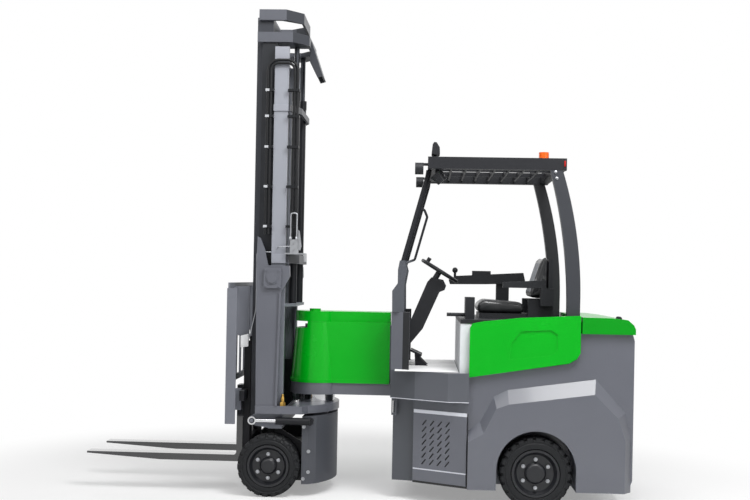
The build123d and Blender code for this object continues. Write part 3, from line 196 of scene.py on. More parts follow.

# The outer channels are pale slate above the cradle; beside it they are painted darker as painted shade, as
# the light falls weaker low down, and their backs are painted nearly black as painted shade.
CHANNEL_BACK = -0.458
CRADLE_TOP = 1.53
pale_slate_coat = sprayed_steel("pale slate coat", "9698A0", "8B8E96", 0.42,
                                zones=(("X", "GREATER_THAN", (CHANNEL_BACK,), "323338"),
                                       ("Z", "LESS_THAN", (CRADLE_TOP,), "6A6D75")))
dress(pale_slate_coat, "outer_mast")

# The load backrest is a lighter, duller slate.
backrest_coat = sprayed_steel("load guard coat", "74767E", "6A6D75", 0.42)
dress(backrest_coat, "load_backrest")


# Green covers
# Pressed steel panels over the battery, the counterweight and the arm, with a glossy green
# powder coat that mirrors the studio softly.
green_coat = sprayed_steel("green gloss coat", "00AB1C", "00A018", 0.24, peel_mm=4.0, peel=0.05,
                           coat=0.15, shine=0.2)
dress(green_coat, "side_panels", "arm_cover", "arm_lid")

# The cap over the counterweight has the same coat, painted a deeper green as painted shade on its top.
cap_coat = sprayed_steel("green gloss cap coat", "009417", "008A14", 0.24, peel_mm=4.0, peel=0.05,
                         coat=0.15, shine=0.2)
dress(cap_coat, "rear_cap")


# Inner mast stages, guard and axles
# Rolled channels, tube and plate. Tube and plate have a near-black satin coat; the channels of the two
# inner stages are slate, painted near black as painted shade, and the cross members at their heads show the
# slate of the chassis.
black_coat = sprayed_steel("black satin coat", "1E1F23", "17181B", 0.36, edge_highlight=0.4, shine=0.2)
dress(black_coat, "pedals", "rear_axle", "drive_axle", "tilt_barrels", "lift_barrels",
      "free_lift_barrel", "carriage")

# The forks have a thick gloss coat, so that their tops mirror the light.
fork_coat = sprayed_steel("black gloss coat", "1C1D20", "16171A", 0.12, edge_highlight=0.5, coat=1.0, shine=0.6)
dress(fork_coat, "forks")

# The guard and the seat deck are a shade lighter than the axles.
guard_coat = sprayed_steel("dark slate coat", "222327", "1D1E21", 0.4, edge_highlight=0.4, shine=0.25)
dress(guard_coat, "guard_roof", "seat_deck")

# The two inner stages: channels painted dark as painted shade, slate bands at the head, and painted
# shade darker still on the bows at the back. The middle stage's front edge carries a painted highlight.
BAND_SLATE = "575960"
BOW_PAINTED_SHADE = "383A3F"
MIDDLE_EDGE, MIDDLE_BAND, MIDDLE_BOW = -0.666, 2.984, -0.443
INNER_BAND, INNER_BOW = 3.137, -0.492
middle_coat = sprayed_steel("dark channel coat", "25272B", "1F2125", 0.36, edge_highlight=0.6, shine=0.25,
                            zones=(("X", "LESS_THAN", (MIDDLE_EDGE,), "9FA1A9"),
                                   ("Z", "GREATER_THAN", (MIDDLE_BAND,), BAND_SLATE),
                                   ("X", "GREATER_THAN", (MIDDLE_BOW,), BOW_PAINTED_SHADE)))
dress(middle_coat, "mid_mast")
inner_coat = sprayed_steel("inner channel coat", "3D3F45", "34363C", 0.36, edge_highlight=0.6, shine=0.25,
                           zones=(("Z", "GREATER_THAN", (INNER_BAND,), BAND_SLATE),
                                  ("X", "GREATER_THAN", (INNER_BOW,), BOW_PAINTED_SHADE)))
dress(inner_coat, "inner_mast")


# Seat box
# A folded sheet box that carries the driver's seat, under a light grey satin coat that spreads
# the light evenly.
pedestal_coat = sprayed_steel("light grey coat", "E0E1E5", "C4C7CB", 0.5)
dress(pedestal_coat, "seat_box")


# Hydraulic rods, clips, valve and chains
# Ground and chromed rods, zinc plated clips and valve block, and oiled leaf chain: bright bare
# metals, from an almost even mirror to a dull grey.
def bare_metal(name, colour, rough, streak=0.3):
    """Bare or plated metal: its gloss varies along fine streaks."""
    material, tree, shader = new_material(name)
    place = node(tree, "ShaderNodeTexCoord")
    haze = node(tree, "ShaderNodeTexNoise", inputs={"Scale": 40.0, "Detail": 3.0},
                links={"Vector": (place, "Object")})
    spread = node(tree, "ShaderNodeMapRange",
                  inputs={"To Min": rough * (1 - streak), "To Max": rough * (1 + streak)},
                  links={"Value": (haze, "Fac")})
    tree.links.new(spread.outputs["Result"], shader.inputs["Roughness"])
    tone = node(tree, "ShaderNodeMix", {"data_type": "RGBA"}, links={"Factor": (haze, "Fac")})
    base = srgb(colour)
    tone.inputs[6].default_value = tuple(c * 0.8 for c in base[:3]) + (1.0,)
    tone.inputs[7].default_value = base
    tree.links.new(tone.outputs[2], shader.inputs["Base Color"])
    shader.inputs["Metallic"].default_value = 1.0
    return material


# Hard chrome: an almost even mirror.
chrome = bare_metal("hard chrome", "DCDDDF", 0.12)
dress(chrome, "tilt_rods", "pivot_shaft")

# Nitrided rod: a dark metal sheen.
rod_steel = bare_metal("dark nitrided rod", "3B3D41", 0.3)
dress(rod_steel, "lift_rods", "free_lift_head")

# Zinc plate: a pale, slightly clouded metal.
zinc = bare_metal("bright zinc plate", "AEB0B4", 0.36)
dress(zinc, "lift_valve", "drawbar_pin")

# The clips are black, and only their front screws show zinc.
CLIP_SCREWS = -0.583
clip_coat = sprayed_steel("black and zinc clips", "1C1D20", "16171A", 0.4, shine=0.2,
                          zones=(("X", "LESS_THAN", (CLIP_SCREWS,), "B6B8BC"),))
dress(clip_coat, "hose_clips")

# Oiled steel: a warm, dull grey.
chain_steel = bare_metal("oiled chain steel", "6E6B66", 0.35)
dress(chain_steel, "lift_chains")


# Cab fittings and hoses
# Moulded black plastic round the driver and rubber hoses on the mast: dull black with a fine
# moulding grain that softens the lights.
def moulded(name, colour, rough, grain_mm, strength, shine=0.22):
    """Moulded rubber or plastic: two close tones and a fine grain in the bump."""
    material, tree, shader = new_material(name)
    place = node(tree, "ShaderNodeTexCoord")
    cloud = node(tree, "ShaderNodeTexNoise", inputs={"Scale": 6.0, "Detail": 4.0},
                 links={"Vector": (place, "Object")})
    tone = node(tree, "ShaderNodeMix", {"data_type": "RGBA"}, links={"Factor": (cloud, "Fac")})
    base = srgb(colour)
    tone.inputs[6].default_value = tuple(c * 0.8 for c in base[:3]) + (1.0,)
    tone.inputs[7].default_value = tuple(min(1.0, c * 1.2) for c in base[:3]) + (1.0,)
    tree.links.new(tone.outputs[2], shader.inputs["Base Color"])
    shader.inputs["Roughness"].default_value = rough
    shader.inputs["Specular IOR Level"].default_value = shine
    grain = node(tree, "ShaderNodeTexNoise", inputs={"Scale": MM_GRAIN_SCALE / grain_mm, "Detail": 2.0},
                 links={"Vector": (place, "Object")})
    bump = node(tree, "ShaderNodeBump", inputs={"Strength": strength, "Distance": 0.0006},
                links={"Height": (grain, "Fac")})
    tree.links.new(bump.outputs["Normal"], shader.inputs["Normal"])
    return material


# Moulded plastic: a fine grain that breaks up the lights.
black_plastic = moulded("moulded black plastic", "26272A", 0.42, 1.2, 0.3)
dress(black_plastic, "steering_column", "steering_wheel", "seat_base", "seat_controls", "roof_mirror",
      "work_lamps")

# Extruded rubber: nearly black, with a faint sheen along the hose.
hose_rubber = moulded("hose rubber", "17181A", 0.5, 1.5, 0.2)
dress(hose_rubber, "mast_hoses")

# The battery's case is dull and coarser in its grain.
battery_case = moulded("battery case", "323336", 0.5, 3.0, 0.2)
dress(battery_case, "battery")

# The lens is smooth, clean orange.
lamp_orange = moulded("orange lamp lens", "F0641A", 0.18, 4.0, 0.05)
dress(lamp_orange, "beacon")


# Tyres
# Solid press-on tyres of black rubber, moulded with a bead, a smooth sidewall with a ring groove
# and blocks along both shoulders. They replace the plain rings of the wheels.
def finished(name, shape, material, body, replaced=(), sharp=34):
    """Makes a smooth mesh piece with its sharp edges from a form, and puts it on its body if it has one."""
    bmesh.ops.remove_doubles(shape, verts=shape.verts, dist=0.00002)
    bmesh.ops.recalc_face_normals(shape, faces=shape.faces)
    for face in shape.faces:
        face.smooth = True
    for edge in shape.edges:
        if len(edge.link_faces) == 2 and edge.calc_face_angle(0) > math.radians(sharp):
            edge.smooth = False
    mesh = bpy.data.meshes.new(name)
    shape.to_mesh(mesh)
    shape.free()
    mesh.materials.append(material)
    piece = bpy.data.objects.new(name, mesh)
    bpy.context.collection.objects.link(piece)
    if body:
        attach(piece, body)
    if replaced:
        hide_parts(*replaced)
    return piece


def skin(shape, rings, capped=False):
    """Quads between rings of points, each ring with the same number of points."""
    verts = [[shape.verts.new(p) for p in ring] for ring in rings]
    count = len(verts[0])
    for a, b in zip(verts, verts[1:]):
        for j in range(count):
            k = (j + 1) % count
            shape.faces.new((a[j], a[k], b[k], b[j]))
    if capped:
        shape.faces.new(verts[0])
        shape.faces.new(list(reversed(verts[-1])))


def new_growth(name, sizes):
    """An empty geometry tree with its named inputs, and its input node."""
    tree = bpy.data.node_groups.new(name, "GeometryNodeTree")
    tree.interface.new_socket("Geometry", in_out="INPUT", socket_type="NodeSocketGeometry")
    for label, kind in sizes:
        tree.interface.new_socket(label, in_out="INPUT", socket_type="NodeSocket" + kind)
    tree.interface.new_socket("Geometry", in_out="OUTPUT", socket_type="NodeSocketGeometry")
    return tree, node(tree, "NodeGroupInput")


def grow(shape, mesh, tree, sizes):
    """Runs a geometry tree on a mesh with its sizes and adds the plain result to a form."""
    holder = bpy.data.objects.new("grown_form", mesh)
    bpy.context.collection.objects.link(holder)
    modifier = holder.modifiers.new("growth", "NODES")
    modifier.node_group = tree
    for socket in tree.interface.items_tree:
        if socket.in_out == "INPUT" and socket.name in sizes:
            modifier[socket.identifier] = sizes[socket.name]
    grown = bpy.data.meshes.new_from_object(holder.evaluated_get(bpy.context.evaluated_depsgraph_get()))
    shape.from_mesh(grown)
    bpy.data.objects.remove(holder)
    bpy.data.meshes.remove(grown)
    bpy.data.meshes.remove(mesh)


# This tree sets copies of a part in a row: each is shifted and turned on from the one before it.
row_tree, given = new_growth("row of like parts", (("Count", "Int"), ("Start", "Vector"), ("Step", "Vector"),
                                                   ("Turn", "Vector"), ("Coat", "Material")))
row = node(row_tree, "GeometryNodeMeshLine", {"mode": "OFFSET"},
           links={"Count": (given, "Count"), "Start Location": (given, "Start"), "Offset": (given, "Step")})
place_number = node(row_tree, "GeometryNodeInputIndex")
turned_on = node(row_tree, "ShaderNodeVectorMath", {"operation": "SCALE"},
                 links={"Vector": (given, "Turn"), "Scale": (place_number, "Index")})
copies = node(row_tree, "GeometryNodeInstanceOnPoints",
              links={"Points": (row, "Mesh"), "Instance": (given, "Geometry"),
                     "Rotation": (turned_on, "Vector")})
real = node(row_tree, "GeometryNodeRealizeInstances", links={"Geometry": (copies, "Instances")})
coated = node(row_tree, "GeometryNodeSetMaterial",
              links={"Geometry": (real, "Geometry"), "Material": (given, "Coat")})
node(row_tree, "NodeGroupOutput", links={"Geometry": (coated, "Geometry")})


def row_of(shape, part, coat, count, start, step=(0, 0, 0), turn=(0, 0, 0)):
    """Adds a row of copies of a part to a form. The part is used up."""
    mesh = bpy.data.meshes.new("row_part")
    part.to_mesh(mesh)
    part.free()
    sizes = {"Start": start, "Step": step, "Turn": turn}
    sizes = {label: [float(v) for v in value] for label, value in sizes.items()}
    grow(shape, mesh, row_tree, {"Count": count, "Coat": coat, **sizes})


def lugged_tyre(name, x, radius, width, bore, side, out, lugs, body):
    """One tyre: its cross section drops at the notch beside a lug, and the stretch repeats all round."""
    half = width / 2
    flank = [(0.012, bore), (0.001, bore + 0.008), (0.0, bore + 0.018), (0.0, radius - 0.040),
             (0.003, radius - 0.036), (0.003, radius - 0.031), (0.0005, radius - 0.027)]
    block_edge = [(0.002, radius - 0.012), (0.009, radius - 0.002), (0.031, radius), (0.037, radius)]
    notch_edge = [(0.006, radius - 0.022), (0.011, radius - 0.014), (0.031, radius - 0.012), (0.037, radius)]
    lug_turn = 2 * math.pi / lugs
    rings = []
    for step, edge in ((0.0, block_edge), (0.3, block_edge), (0.6, block_edge), (0.66, notch_edge),
                       (0.94, notch_edge), (1.0, block_edge)):
        angle = lug_turn * step
        near = [(-half + s, r) for s, r in flank + edge]
        far = [(half - s, r) for s, r in reversed(flank + edge)]
        rings.append([(r * math.sin(angle), s, r * math.cos(angle)) for s, r in near + far])
    lug = bmesh.new()
    skin(lug, rings)
    shape = bmesh.new()
    row_of(shape, lug, tyre_rubber, lugs, (x, side * (out - half), radius), turn=(0, lug_turn, 0))
    return finished(name, shape, tyre_rubber, f"{body}_wheel", (f"{body}_tyre",), sharp=28)


# Tyre rubber: dull black with a soft grain. The rims have a black satin coat.
tyre_rubber = moulded("tyre rubber", "1D1E20", 0.55, 5.0, 0.3, 0.2)
rim_coat = sprayed_steel("black rim coat", "1F2024", "18191C", 0.3, edge_highlight=0.6, shine=0.4)
WHEELS = (
    # label, x, tyre radius, width, bore, outer face, lugs, bolt circle
    ("rear", 1.174, 0.2285, 0.165, 0.1505, 0.600, 24, 0.090),
    ("front", -0.545, 0.2035, 0.145, 0.1365, 0.430, 22, 0.078),
)
for label, x, radius, width, bore, out, lugs, circle in WHEELS:
    for hand, side in (("left", -1), ("right", 1)):
        lugged_tyre(f"{label}_{hand}_lugged_tyre", x, radius, width, bore, side, out, lugs, f"{label}_{hand}")
        dress(rim_coat, f"{label}_{hand}_rim")


# Wheel nuts and hub caps
# Six zinc plated hexagon nuts with washers hold each steel disc on its studs. A cap pressed from
# sheet and painted like the rim closes the hub.
def corners(radius, count):
    """The corners of a regular shape round the origin, as (across, up)."""
    angles = [2 * math.pi * i / count for i in range(count)]
    return [(radius * math.cos(a), radius * math.sin(a)) for a in angles]


def turned(shape, centre, axis, profile, count):
    """A turned form of count sides. Its profile is (distance along the axis, radius), from face to face."""
    axis = Vector(axis).normalized()
    across = axis.orthogonal().normalized()
    up = axis.cross(across)
    rings = []
    for along, radius in profile:
        rings.append([Vector(centre) + axis * along + across * u + up * v for u, v in corners(radius, count)])
    skin(shape, rings, capped=True)


NUTS = 6
NUT_TURN = 2 * math.pi / NUTS
FLATS = 6
WASHER = [(0.0, 0.0125), (0.0015, 0.0125)]
NUT = [(0.0015, 0.0105), (0.009, 0.0105), (0.0105, 0.0092)]
STUD = [(0.0105, 0.0048), (0.0145, 0.0048), (0.0153, 0.004)]
DISC_DEPTH = 0.0165
HUB_DEPTH = 0.012
for label, x, radius, width, bore, out, lugs, circle in WHEELS:
    for hand, side in (("left", -1), ("right", 1)):
        first = (circle * math.cos(NUT_TURN / 2), 0, circle * math.sin(NUT_TURN / 2))
        nut = bmesh.new()
        turned(nut, first, (0, side, 0), WASHER, 20)
        turned(nut, first, (0, side, 0), NUT, FLATS)
        turned(nut, first, (0, side, 0), STUD, 14)
        shape = bmesh.new()
        row_of(shape, nut, zinc, NUTS, (x, side * (out - DISC_DEPTH), radius), turn=(0, NUT_TURN, 0))
        finished(f"{label}_{hand}_wheel_nuts", shape, zinc, f"{label}_{hand}_wheel")
        shape = bmesh.new()
        hub = circle - 0.032
        turned(shape, (x, side * (out - HUB_DEPTH), radius), (0, side, 0),
               [(0.0, hub), (0.001, hub), (0.0042, hub - 0.003), (0.007, hub - 0.009), (0.0086, hub * 0.5),
                (0.009, hub * 0.2), (0.009, 0.001)], 40)
        finished(f"{label}_{hand}_hub_cap", shape, rim_coat, f"{label}_{hand}_wheel")


# Seat cushion and backrest
# Moulded foam under a sewn cover: black vinyl all round and a pale grey cloth panel down the
# middle of the backrest. A short cloth simulation swells the cover as the foam does.
FOAM_GRID = 0.006
COVER_STIFFNESS = 12
SWELL_STEPS = 20


def cloth_pad(name, outline, half, body, replaced, rounding, swell, pressure):
    """A padded piece from its side outline (x, z): rounded, remeshed, swollen and subdivided."""
    shape = bmesh.new()
    skin(shape, [[(x, y, z) for x, z in outline] for y in (-half, half)], capped=True)
    bmesh.ops.recalc_face_normals(shape, faces=shape.faces)
    bmesh.ops.bevel(shape, geom=list(shape.edges), offset=rounding, segments=4, affect="EDGES",
                    profile=0.5)
    mesh = bpy.data.meshes.new(name + "_form")
    shape.to_mesh(mesh)
    shape.free()
    form = bpy.data.objects.new(name + "_form", mesh)
    bpy.context.collection.objects.link(form)
    remesh = form.modifiers.new("remesh", "REMESH")
    remesh.mode = "VOXEL"
    remesh.voxel_size = FOAM_GRID
    skinned = bpy.data.meshes.new_from_object(form.evaluated_get(bpy.context.evaluated_depsgraph_get()))
    bpy.data.objects.remove(form)
    skinned.name = name
    skinned.materials.clear()
    pad = bpy.data.objects.new(name, skinned)
    bpy.context.collection.objects.link(pad)
    start = [v.co.copy() for v in skinned.vertices]
    cloth = pad.modifiers.new("cloth", "CLOTH")
    cloth.settings.quality = 4
    cloth.settings.use_pressure = True
    cloth.settings.uniform_pressure_force = pressure
    cloth.settings.effector_weights.gravity = 0.0
    cloth.settings.tension_stiffness = COVER_STIFFNESS
    cloth.settings.compression_stiffness = COVER_STIFFNESS
    for step in range(1, SWELL_STEPS + 1):
        bpy.context.scene.frame_set(step)
    swollen = pad.evaluated_get(bpy.context.evaluated_depsgraph_get()).data
    moved = [v.co.copy() for v in swollen.vertices]
    pad.modifiers.remove(cloth)
    bpy.context.scene.frame_set(1)
    for vertex, old, new in zip(skinned.vertices, start, moved):
        shift = new - old
        vertex.co = old + shift * min(1.0, swell / max(shift.length, 1e-6))
    for polygon in skinned.polygons:
        polygon.use_smooth = True
    finer = pad.modifiers.new("finer", "SUBSURF")
    finer.levels = 1
    finer.render_levels = 1
    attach(pad, body)
    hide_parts(*replaced)
    return pad


# Seat vinyl: black with a soft gloss and a leather grain. The cloth panel is woven and quite dull.
black_vinyl = moulded("black seat vinyl", "232426", 0.28, 2.0, 0.15, 0.55)
grey_cloth = moulded("grey seat cloth", "A3A6AB", 0.75, 1.6, 0.5)
CUSHION_SIDE = [(0.806, 1.229), (0.801, 1.284), (0.844, 1.309), (1.116, 1.292), (1.128, 1.229)]
BACK_SIDE = [(1.156, 1.336), (1.236, 1.588), (1.251, 1.611), (1.267, 1.592), (1.267, 1.336)]
cushion = cloth_pad("seat_cushion_pad", CUSHION_SIDE, 0.200, "rear_chassis", ("seat_cushion",),
                    rounding=0.022, swell=0.007, pressure=4.0)
cushion.data.materials.append(black_vinyl)
backrest = cloth_pad("seat_back_pad", BACK_SIDE, 0.189, "rear_chassis", ("seat_back",),
                     rounding=0.014, swell=0.009, pressure=4.0)
backrest.data.materials.append(black_vinyl)
backrest.data.materials.append(grey_cloth)
PANEL_HALF = 0.15
PANEL_LOW, PANEL_HIGH = 1.365, 1.565
for polygon in backrest.data.polygons:
    centre = polygon.center
    if polygon.normal.x < -0.6 and abs(centre.y) < PANEL_HALF and PANEL_LOW < centre.z < PANEL_HIGH:
        polygon.material_index = 1


# Cab floor and small cab parts
# A pale grey rubber mat lies on the cab floor. Zinc plated screws hold the guard to its posts, and
# the red reflector and the black latch of the cap are small bought parts.
def plate_form(shape, outline, axis, low, high, rounding=0.0, segments=3):
    """A plate from its outline. The outline lies across the axis ("y" or "z") from low to high."""
    order = {"y": lambda p, t: (p[0], t, p[1]), "z": lambda p, t: (p[0], p[1], t)}
    part = bmesh.new()
    skin(part, [[order[axis](p, t) for p in outline] for t in (low, high)], capped=True)
    bmesh.ops.recalc_face_normals(part, faces=part.faces)
    if rounding:
        bmesh.ops.bevel(part, geom=list(part.edges), offset=rounding, segments=segments, affect="EDGES",
                        profile=0.5)
    mesh = bpy.data.meshes.new("plate_form")
    part.to_mesh(mesh)
    part.free()
    shape.from_mesh(mesh)
    bpy.data.meshes.remove(mesh)


# Moulded rubber mat: pale and dull, with a coarse pebble grain.
FLOOR_TOP = 0.8503
MAT_TOP = 0.8545
grey_mat = moulded("pale grey floor mat", "F0F0F0", 0.6, 8.0, 0.4)
shape = bmesh.new()
plate_form(shape, [(0.272, -0.52), (0.68, -0.54), (0.68, 0.54), (0.272, 0.52)], "z", FLOOR_TOP, MAT_TOP,
           0.0012, 2)
finished("cab_floor_mat", shape, grey_mat, "rear_chassis")

GUARD_FACE = -0.5595
screw = bmesh.new()
turned(screw, (0, 0, 0), (0, -1, 0), [(0.0, 0.010), (0.0015, 0.010)], 20)
turned(screw, (0, 0, 0), (0, -1, 0),
       [(0.0015, 0.0078), (0.0052, 0.0078), (0.0068, 0.005), (0.0072, 0.002)], 20)
shape = bmesh.new()
row_of(shape, screw, zinc, 2, (1.268, GUARD_FACE, 2.136), step=(0.008, 0, -0.040))
finished("roof_bolts", shape, zinc, "rear_chassis")

# Red lens plastic: smooth and deep in colour.
lamp_red = moulded("red reflector", "9F1F1D", 0.2, 3.0, 0.2)
shape = bmesh.new()
plate_form(shape, [(1.320, 2.170), (1.320, 2.206), (1.331, 2.206), (1.331, 2.170)], "y", -0.5655, -0.5598,
           0.0012, 2)
finished("roof_reflector", shape, lamp_red, "rear_chassis")

shape = bmesh.new()
plate_form(shape, [(1.672, 1.208), (1.676, 1.2245), (1.684, 1.2285), (1.702, 1.227), (1.71, 1.219),
                   (1.712, 1.205)], "y", -0.512, -0.484, 0.003)
finished("cap_latch", shape, black_plastic, "rear_chassis")


# Mast fittings
# Retaining rings and bolts at the tilt pins, bent zinc plated pipes at the valve, a brass port
# on the base plate and the screws of the drive casing.
PIPE_SIDES = 12

# This tree carries a round section along a route of edges.
pipe_tree, given = new_growth("pipe along a route", (("Radius", "Float"), ("Sides", "Int"),
                                                     ("Coat", "Material")))
route_curve = node(pipe_tree, "GeometryNodeMeshToCurve", links={"Mesh": (given, "Geometry")})
section = node(pipe_tree, "GeometryNodeCurvePrimitiveCircle", {"mode": "RADIUS"},
               links={"Resolution": (given, "Sides"), "Radius": (given, "Radius")})
wall = node(pipe_tree, "GeometryNodeCurveToMesh", inputs={"Fill Caps": True},
            links={"Curve": (route_curve, "Curve"), "Profile Curve": (section, "Curve")})
real = node(pipe_tree, "GeometryNodeRealizeInstances", links={"Geometry": (wall, "Mesh")})
coated = node(pipe_tree, "GeometryNodeSetMaterial",
              links={"Geometry": (real, "Geometry"), "Material": (given, "Coat")})
node(pipe_tree, "NodeGroupOutput", links={"Geometry": (coated, "Geometry")})


def pipe(shape, points, radius, coat):
    """Adds a bent pipe along its route to a form."""
    mesh = bpy.data.meshes.new("pipe_route")
    mesh.from_pydata([tuple(p) for p in points], [(i, i + 1) for i in range(len(points) - 1)], [])
    grow(shape, mesh, pipe_tree, {"Radius": radius, "Sides": PIPE_SIDES, "Coat": coat})


def bend(start, corner, end, radius, steps=6):
    """Points round a corner of a pipe."""
    start, corner, end = Vector(start), Vector(corner), Vector(end)
    a = corner + (start - corner).normalized() * radius
    b = corner + (end - corner).normalized() * radius
    places = [i / steps for i in range(steps + 1)]
    return [(1 - t) ** 2 * a + 2 * t * (1 - t) * corner + t * t * b for t in places]


PIN = (-0.538, 1.430)
BOLT_X = (-0.5785, -0.4925)
BOLT_LOW, BOLT_GAP = 1.380, 0.100
shape = bmesh.new()
for side in (-1, 1):
    face_y = side * 0.4448
    turned(shape, (PIN[0], face_y, PIN[1]), (0, side, 0),
           [(0.0, 0.041), (0.0045, 0.041), (0.0055, 0.040), (0.0055, 0.031)], 36)
    for bolt_x in BOLT_X:
        bolt = bmesh.new()
        turned(bolt, (0, 0, 0), (0, side, 0), [(0.0, 0.0085), (0.0055, 0.0085), (0.0068, 0.0072)], FLATS)
        row_of(shape, bolt, slate_coat, 2, (bolt_x, face_y, BOLT_LOW), step=(0, 0, BOLT_GAP))
finished("pin_rings", shape, slate_coat, "front_unit")

# The loop pipe rises from one port of the valve, turns over and comes down to the other.
LOOP_Y = -0.428
PORT_Z = 1.680
LOOP_TOP = 1.855
PORTS = (-0.424, -0.384)
rise, over, fall, foot = ((PORTS[0], LOOP_Y, PORT_Z), (PORTS[0], LOOP_Y, LOOP_TOP),
                          (PORTS[1], LOOP_Y, LOOP_TOP), (PORTS[1], LOOP_Y, PORT_Z))
shape = bmesh.new()
pipe(shape, [rise] + bend(rise, over, fall, 0.014) + bend(over, fall, foot, 0.014) + [foot], 0.0045, zinc)
rise, over, foot = (-0.512, -0.392, 1.628), (-0.505, -0.412, 1.633), (-0.424, -0.412, 1.640)
pipe(shape, [rise] + bend(rise, over, foot, 0.01) + [foot], 0.004, zinc)
nut = bmesh.new()
turned(nut, (0, 0, 0), (0, 0, 1), [(0.0, 0.009), (0.016, 0.009), (0.018, 0.0075)], FLATS)
row_of(shape, nut, zinc, 2, (PORTS[0], LOOP_Y, PORT_Z + 0.004), step=(PORTS[1] - PORTS[0], 0, 0))
finished("valve_pipes", shape, zinc, "mast_outer")

# The front pipe leaves the outer channel, drops beside it and bends forward to its union.
top, elbow, low = (-0.555, -0.392, 1.600), (-0.646, -0.398, 1.600), (-0.646, -0.398, 1.26)
knee, tip, end = (-0.646, -0.398, 1.219), (-0.682, -0.398, 1.054), (-0.6815, -0.398, 1.056)
shape = bmesh.new()
pipe(shape, [top] + bend(top, elbow, knee, 0.02) + [low] + bend(low, knee, tip, 0.02) + [end], 0.0035, zinc)
turned(shape, (-0.6815, -0.398, 1.062), (-0.2, 0, -0.98), [(0.0, 0.0055), (0.030, 0.0055), (0.032, 0.004)],
       FLATS)
finished("front_pipe", shape, zinc, "mast_outer")

# White covers: a plain, bright coat on folded sheet.
COVER_INNER, COVER_OUTER = 0.332, 0.349
light_cover = sprayed_steel("white cover coat", "F0F0F0", "E9EAED", 0.4)
shape = bmesh.new()
for side in (-1, 1):
    faces = sorted((side * COVER_INNER, side * COVER_OUTER))
    plate_form(shape, [(-0.752, 0.968), (-0.752, 1.046), (-0.700, 1.060), (-0.700, 0.976)], "y", *faces,
               rounding=0.004)
finished("carriage_covers", shape, light_cover, "fork_carriage")

# Turned brass: a warm yellow metal.
PORT = (-0.458, -0.408)
brass = bare_metal("brass", "B08D4A", 0.3)
shape = bmesh.new()
turned(shape, (*PORT, 0.5965), (0, 0, 1), [(0.0, 0.020), (0.022, 0.020), (0.025, 0.018)], FLATS)
turned(shape, (*PORT, 0.6215), (0, 0, 1),
       [(0.0, 0.013), (0.028, 0.013), (0.034, 0.009), (0.050, 0.009), (0.052, 0.0075)], 24)
finished("base_port", shape, brass, "front_unit")

CASING_FACE = 0.385 * 0.9995
SCREW_PAIRS = (
    # x, upper height, drop to the lower one
    (-0.285, 0.300, 0.135),
    (-0.318, 0.460, 0.340),
)
shape = bmesh.new()
for side in (-1, 1):
    for x, z, drop in SCREW_PAIRS:
        screw = bmesh.new()
        turned(screw, (0, 0, 0), (0, side, 0), [(0.0, 0.012), (0.002, 0.012)], 24)
        turned(screw, (0, 0, 0), (0, side, 0), [(0.002, 0.0092), (0.0085, 0.0092), (0.0098, 0.008)], FLATS)
        row_of(shape, screw, zinc, 2, (x, side * CASING_FACE, z), step=(0, 0, -drop))
finished("casing_screws", shape, zinc, "front_unit")


# Lift chains
# Leaf chain of oiled steel plates. The front run shortens as the carriage climbs past the sheave,
# the rear run lengthens between its anchor and the sheave, and the loop stays on the sheave.
SHEAVE_X, SHEAVE_Z = -0.642, 1.930
SHEAVE_RADIUS = 0.0498
CHAIN_Y = 0.080
CHAIN_WIDTH = 0.020
PLATE_ROWS = 5
PLATE_HALF = CHAIN_WIDTH / 11
LINK_LENGTH, LINK_HEIGHT = 0.0145, 0.0034
PITCH = 0.019
EVEN_ROWS, ODD_ROWS = (0, 2, 4), (1, 3)
CHAIN_RUNS = (
    # label, x, foot, body that it rides on, if it has one
    ("front", -0.6918, 0.7135, "free_lift"),
    ("rear", -0.5922, 1.7175, None),
)


def chain_link(rows, offset=0.0, turn=0.0):
    """One link: rounded plates in their rows, its length upwards, set off and turned round the sheave."""
    link = bmesh.new()
    angles = [math.pi / 8 + 2 * math.pi * k / 8 for k in range(8)]
    outline = [(offset + LINK_HEIGHT * math.sin(a), LINK_LENGTH * math.cos(a)) for a in angles]
    for plate_row in rows:
        y = CHAIN_WIDTH * ((plate_row + 0.5) / PLATE_ROWS - 0.5)
        skin(link, [[(x, t, z) for x, z in outline] for t in (y - PLATE_HALF, y + PLATE_HALF)], capped=True)
    bmesh.ops.transform(link, matrix=Matrix.Rotation(turn, 4, "Y"), verts=link.verts)
    return link


for run, run_x, foot, body in CHAIN_RUNS:
    links = int((SHEAVE_Z - foot - 0.012) / PITCH)
    first_z = foot + 0.014
    shape = bmesh.new()
    for y in (-CHAIN_Y, CHAIN_Y):
        row_of(shape, chain_link(EVEN_ROWS), chain_steel, (links + 1) // 2, (run_x, y, first_z),
               step=(0, 0, 2 * PITCH))
        row_of(shape, chain_link(ODD_ROWS), chain_steel, links // 2, (run_x, y, first_z + PITCH),
               step=(0, 0, 2 * PITCH))
    piece = finished(f"chain_{run}_run", shape, chain_steel, body)
    if run == "front":
        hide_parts("lift_chains")
        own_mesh(piece)
    else:
        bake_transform(piece)

LOOP_TURN = math.pi / 8
shape = bmesh.new()
for y in (-CHAIN_Y, CHAIN_Y):
    row_of(shape, chain_link(EVEN_ROWS, -SHEAVE_RADIUS), chain_steel, 5, (SHEAVE_X, y, SHEAVE_Z),
           turn=(0, 2 * LOOP_TURN, 0))
    row_of(shape, chain_link(ODD_ROWS, -SHEAVE_RADIUS, LOOP_TURN), chain_steel, 4, (SHEAVE_X, y, SHEAVE_Z),
           turn=(0, 2 * LOOP_TURN, 0))
finished("chain_sheave_loop", shape, chain_steel, "free_lift")


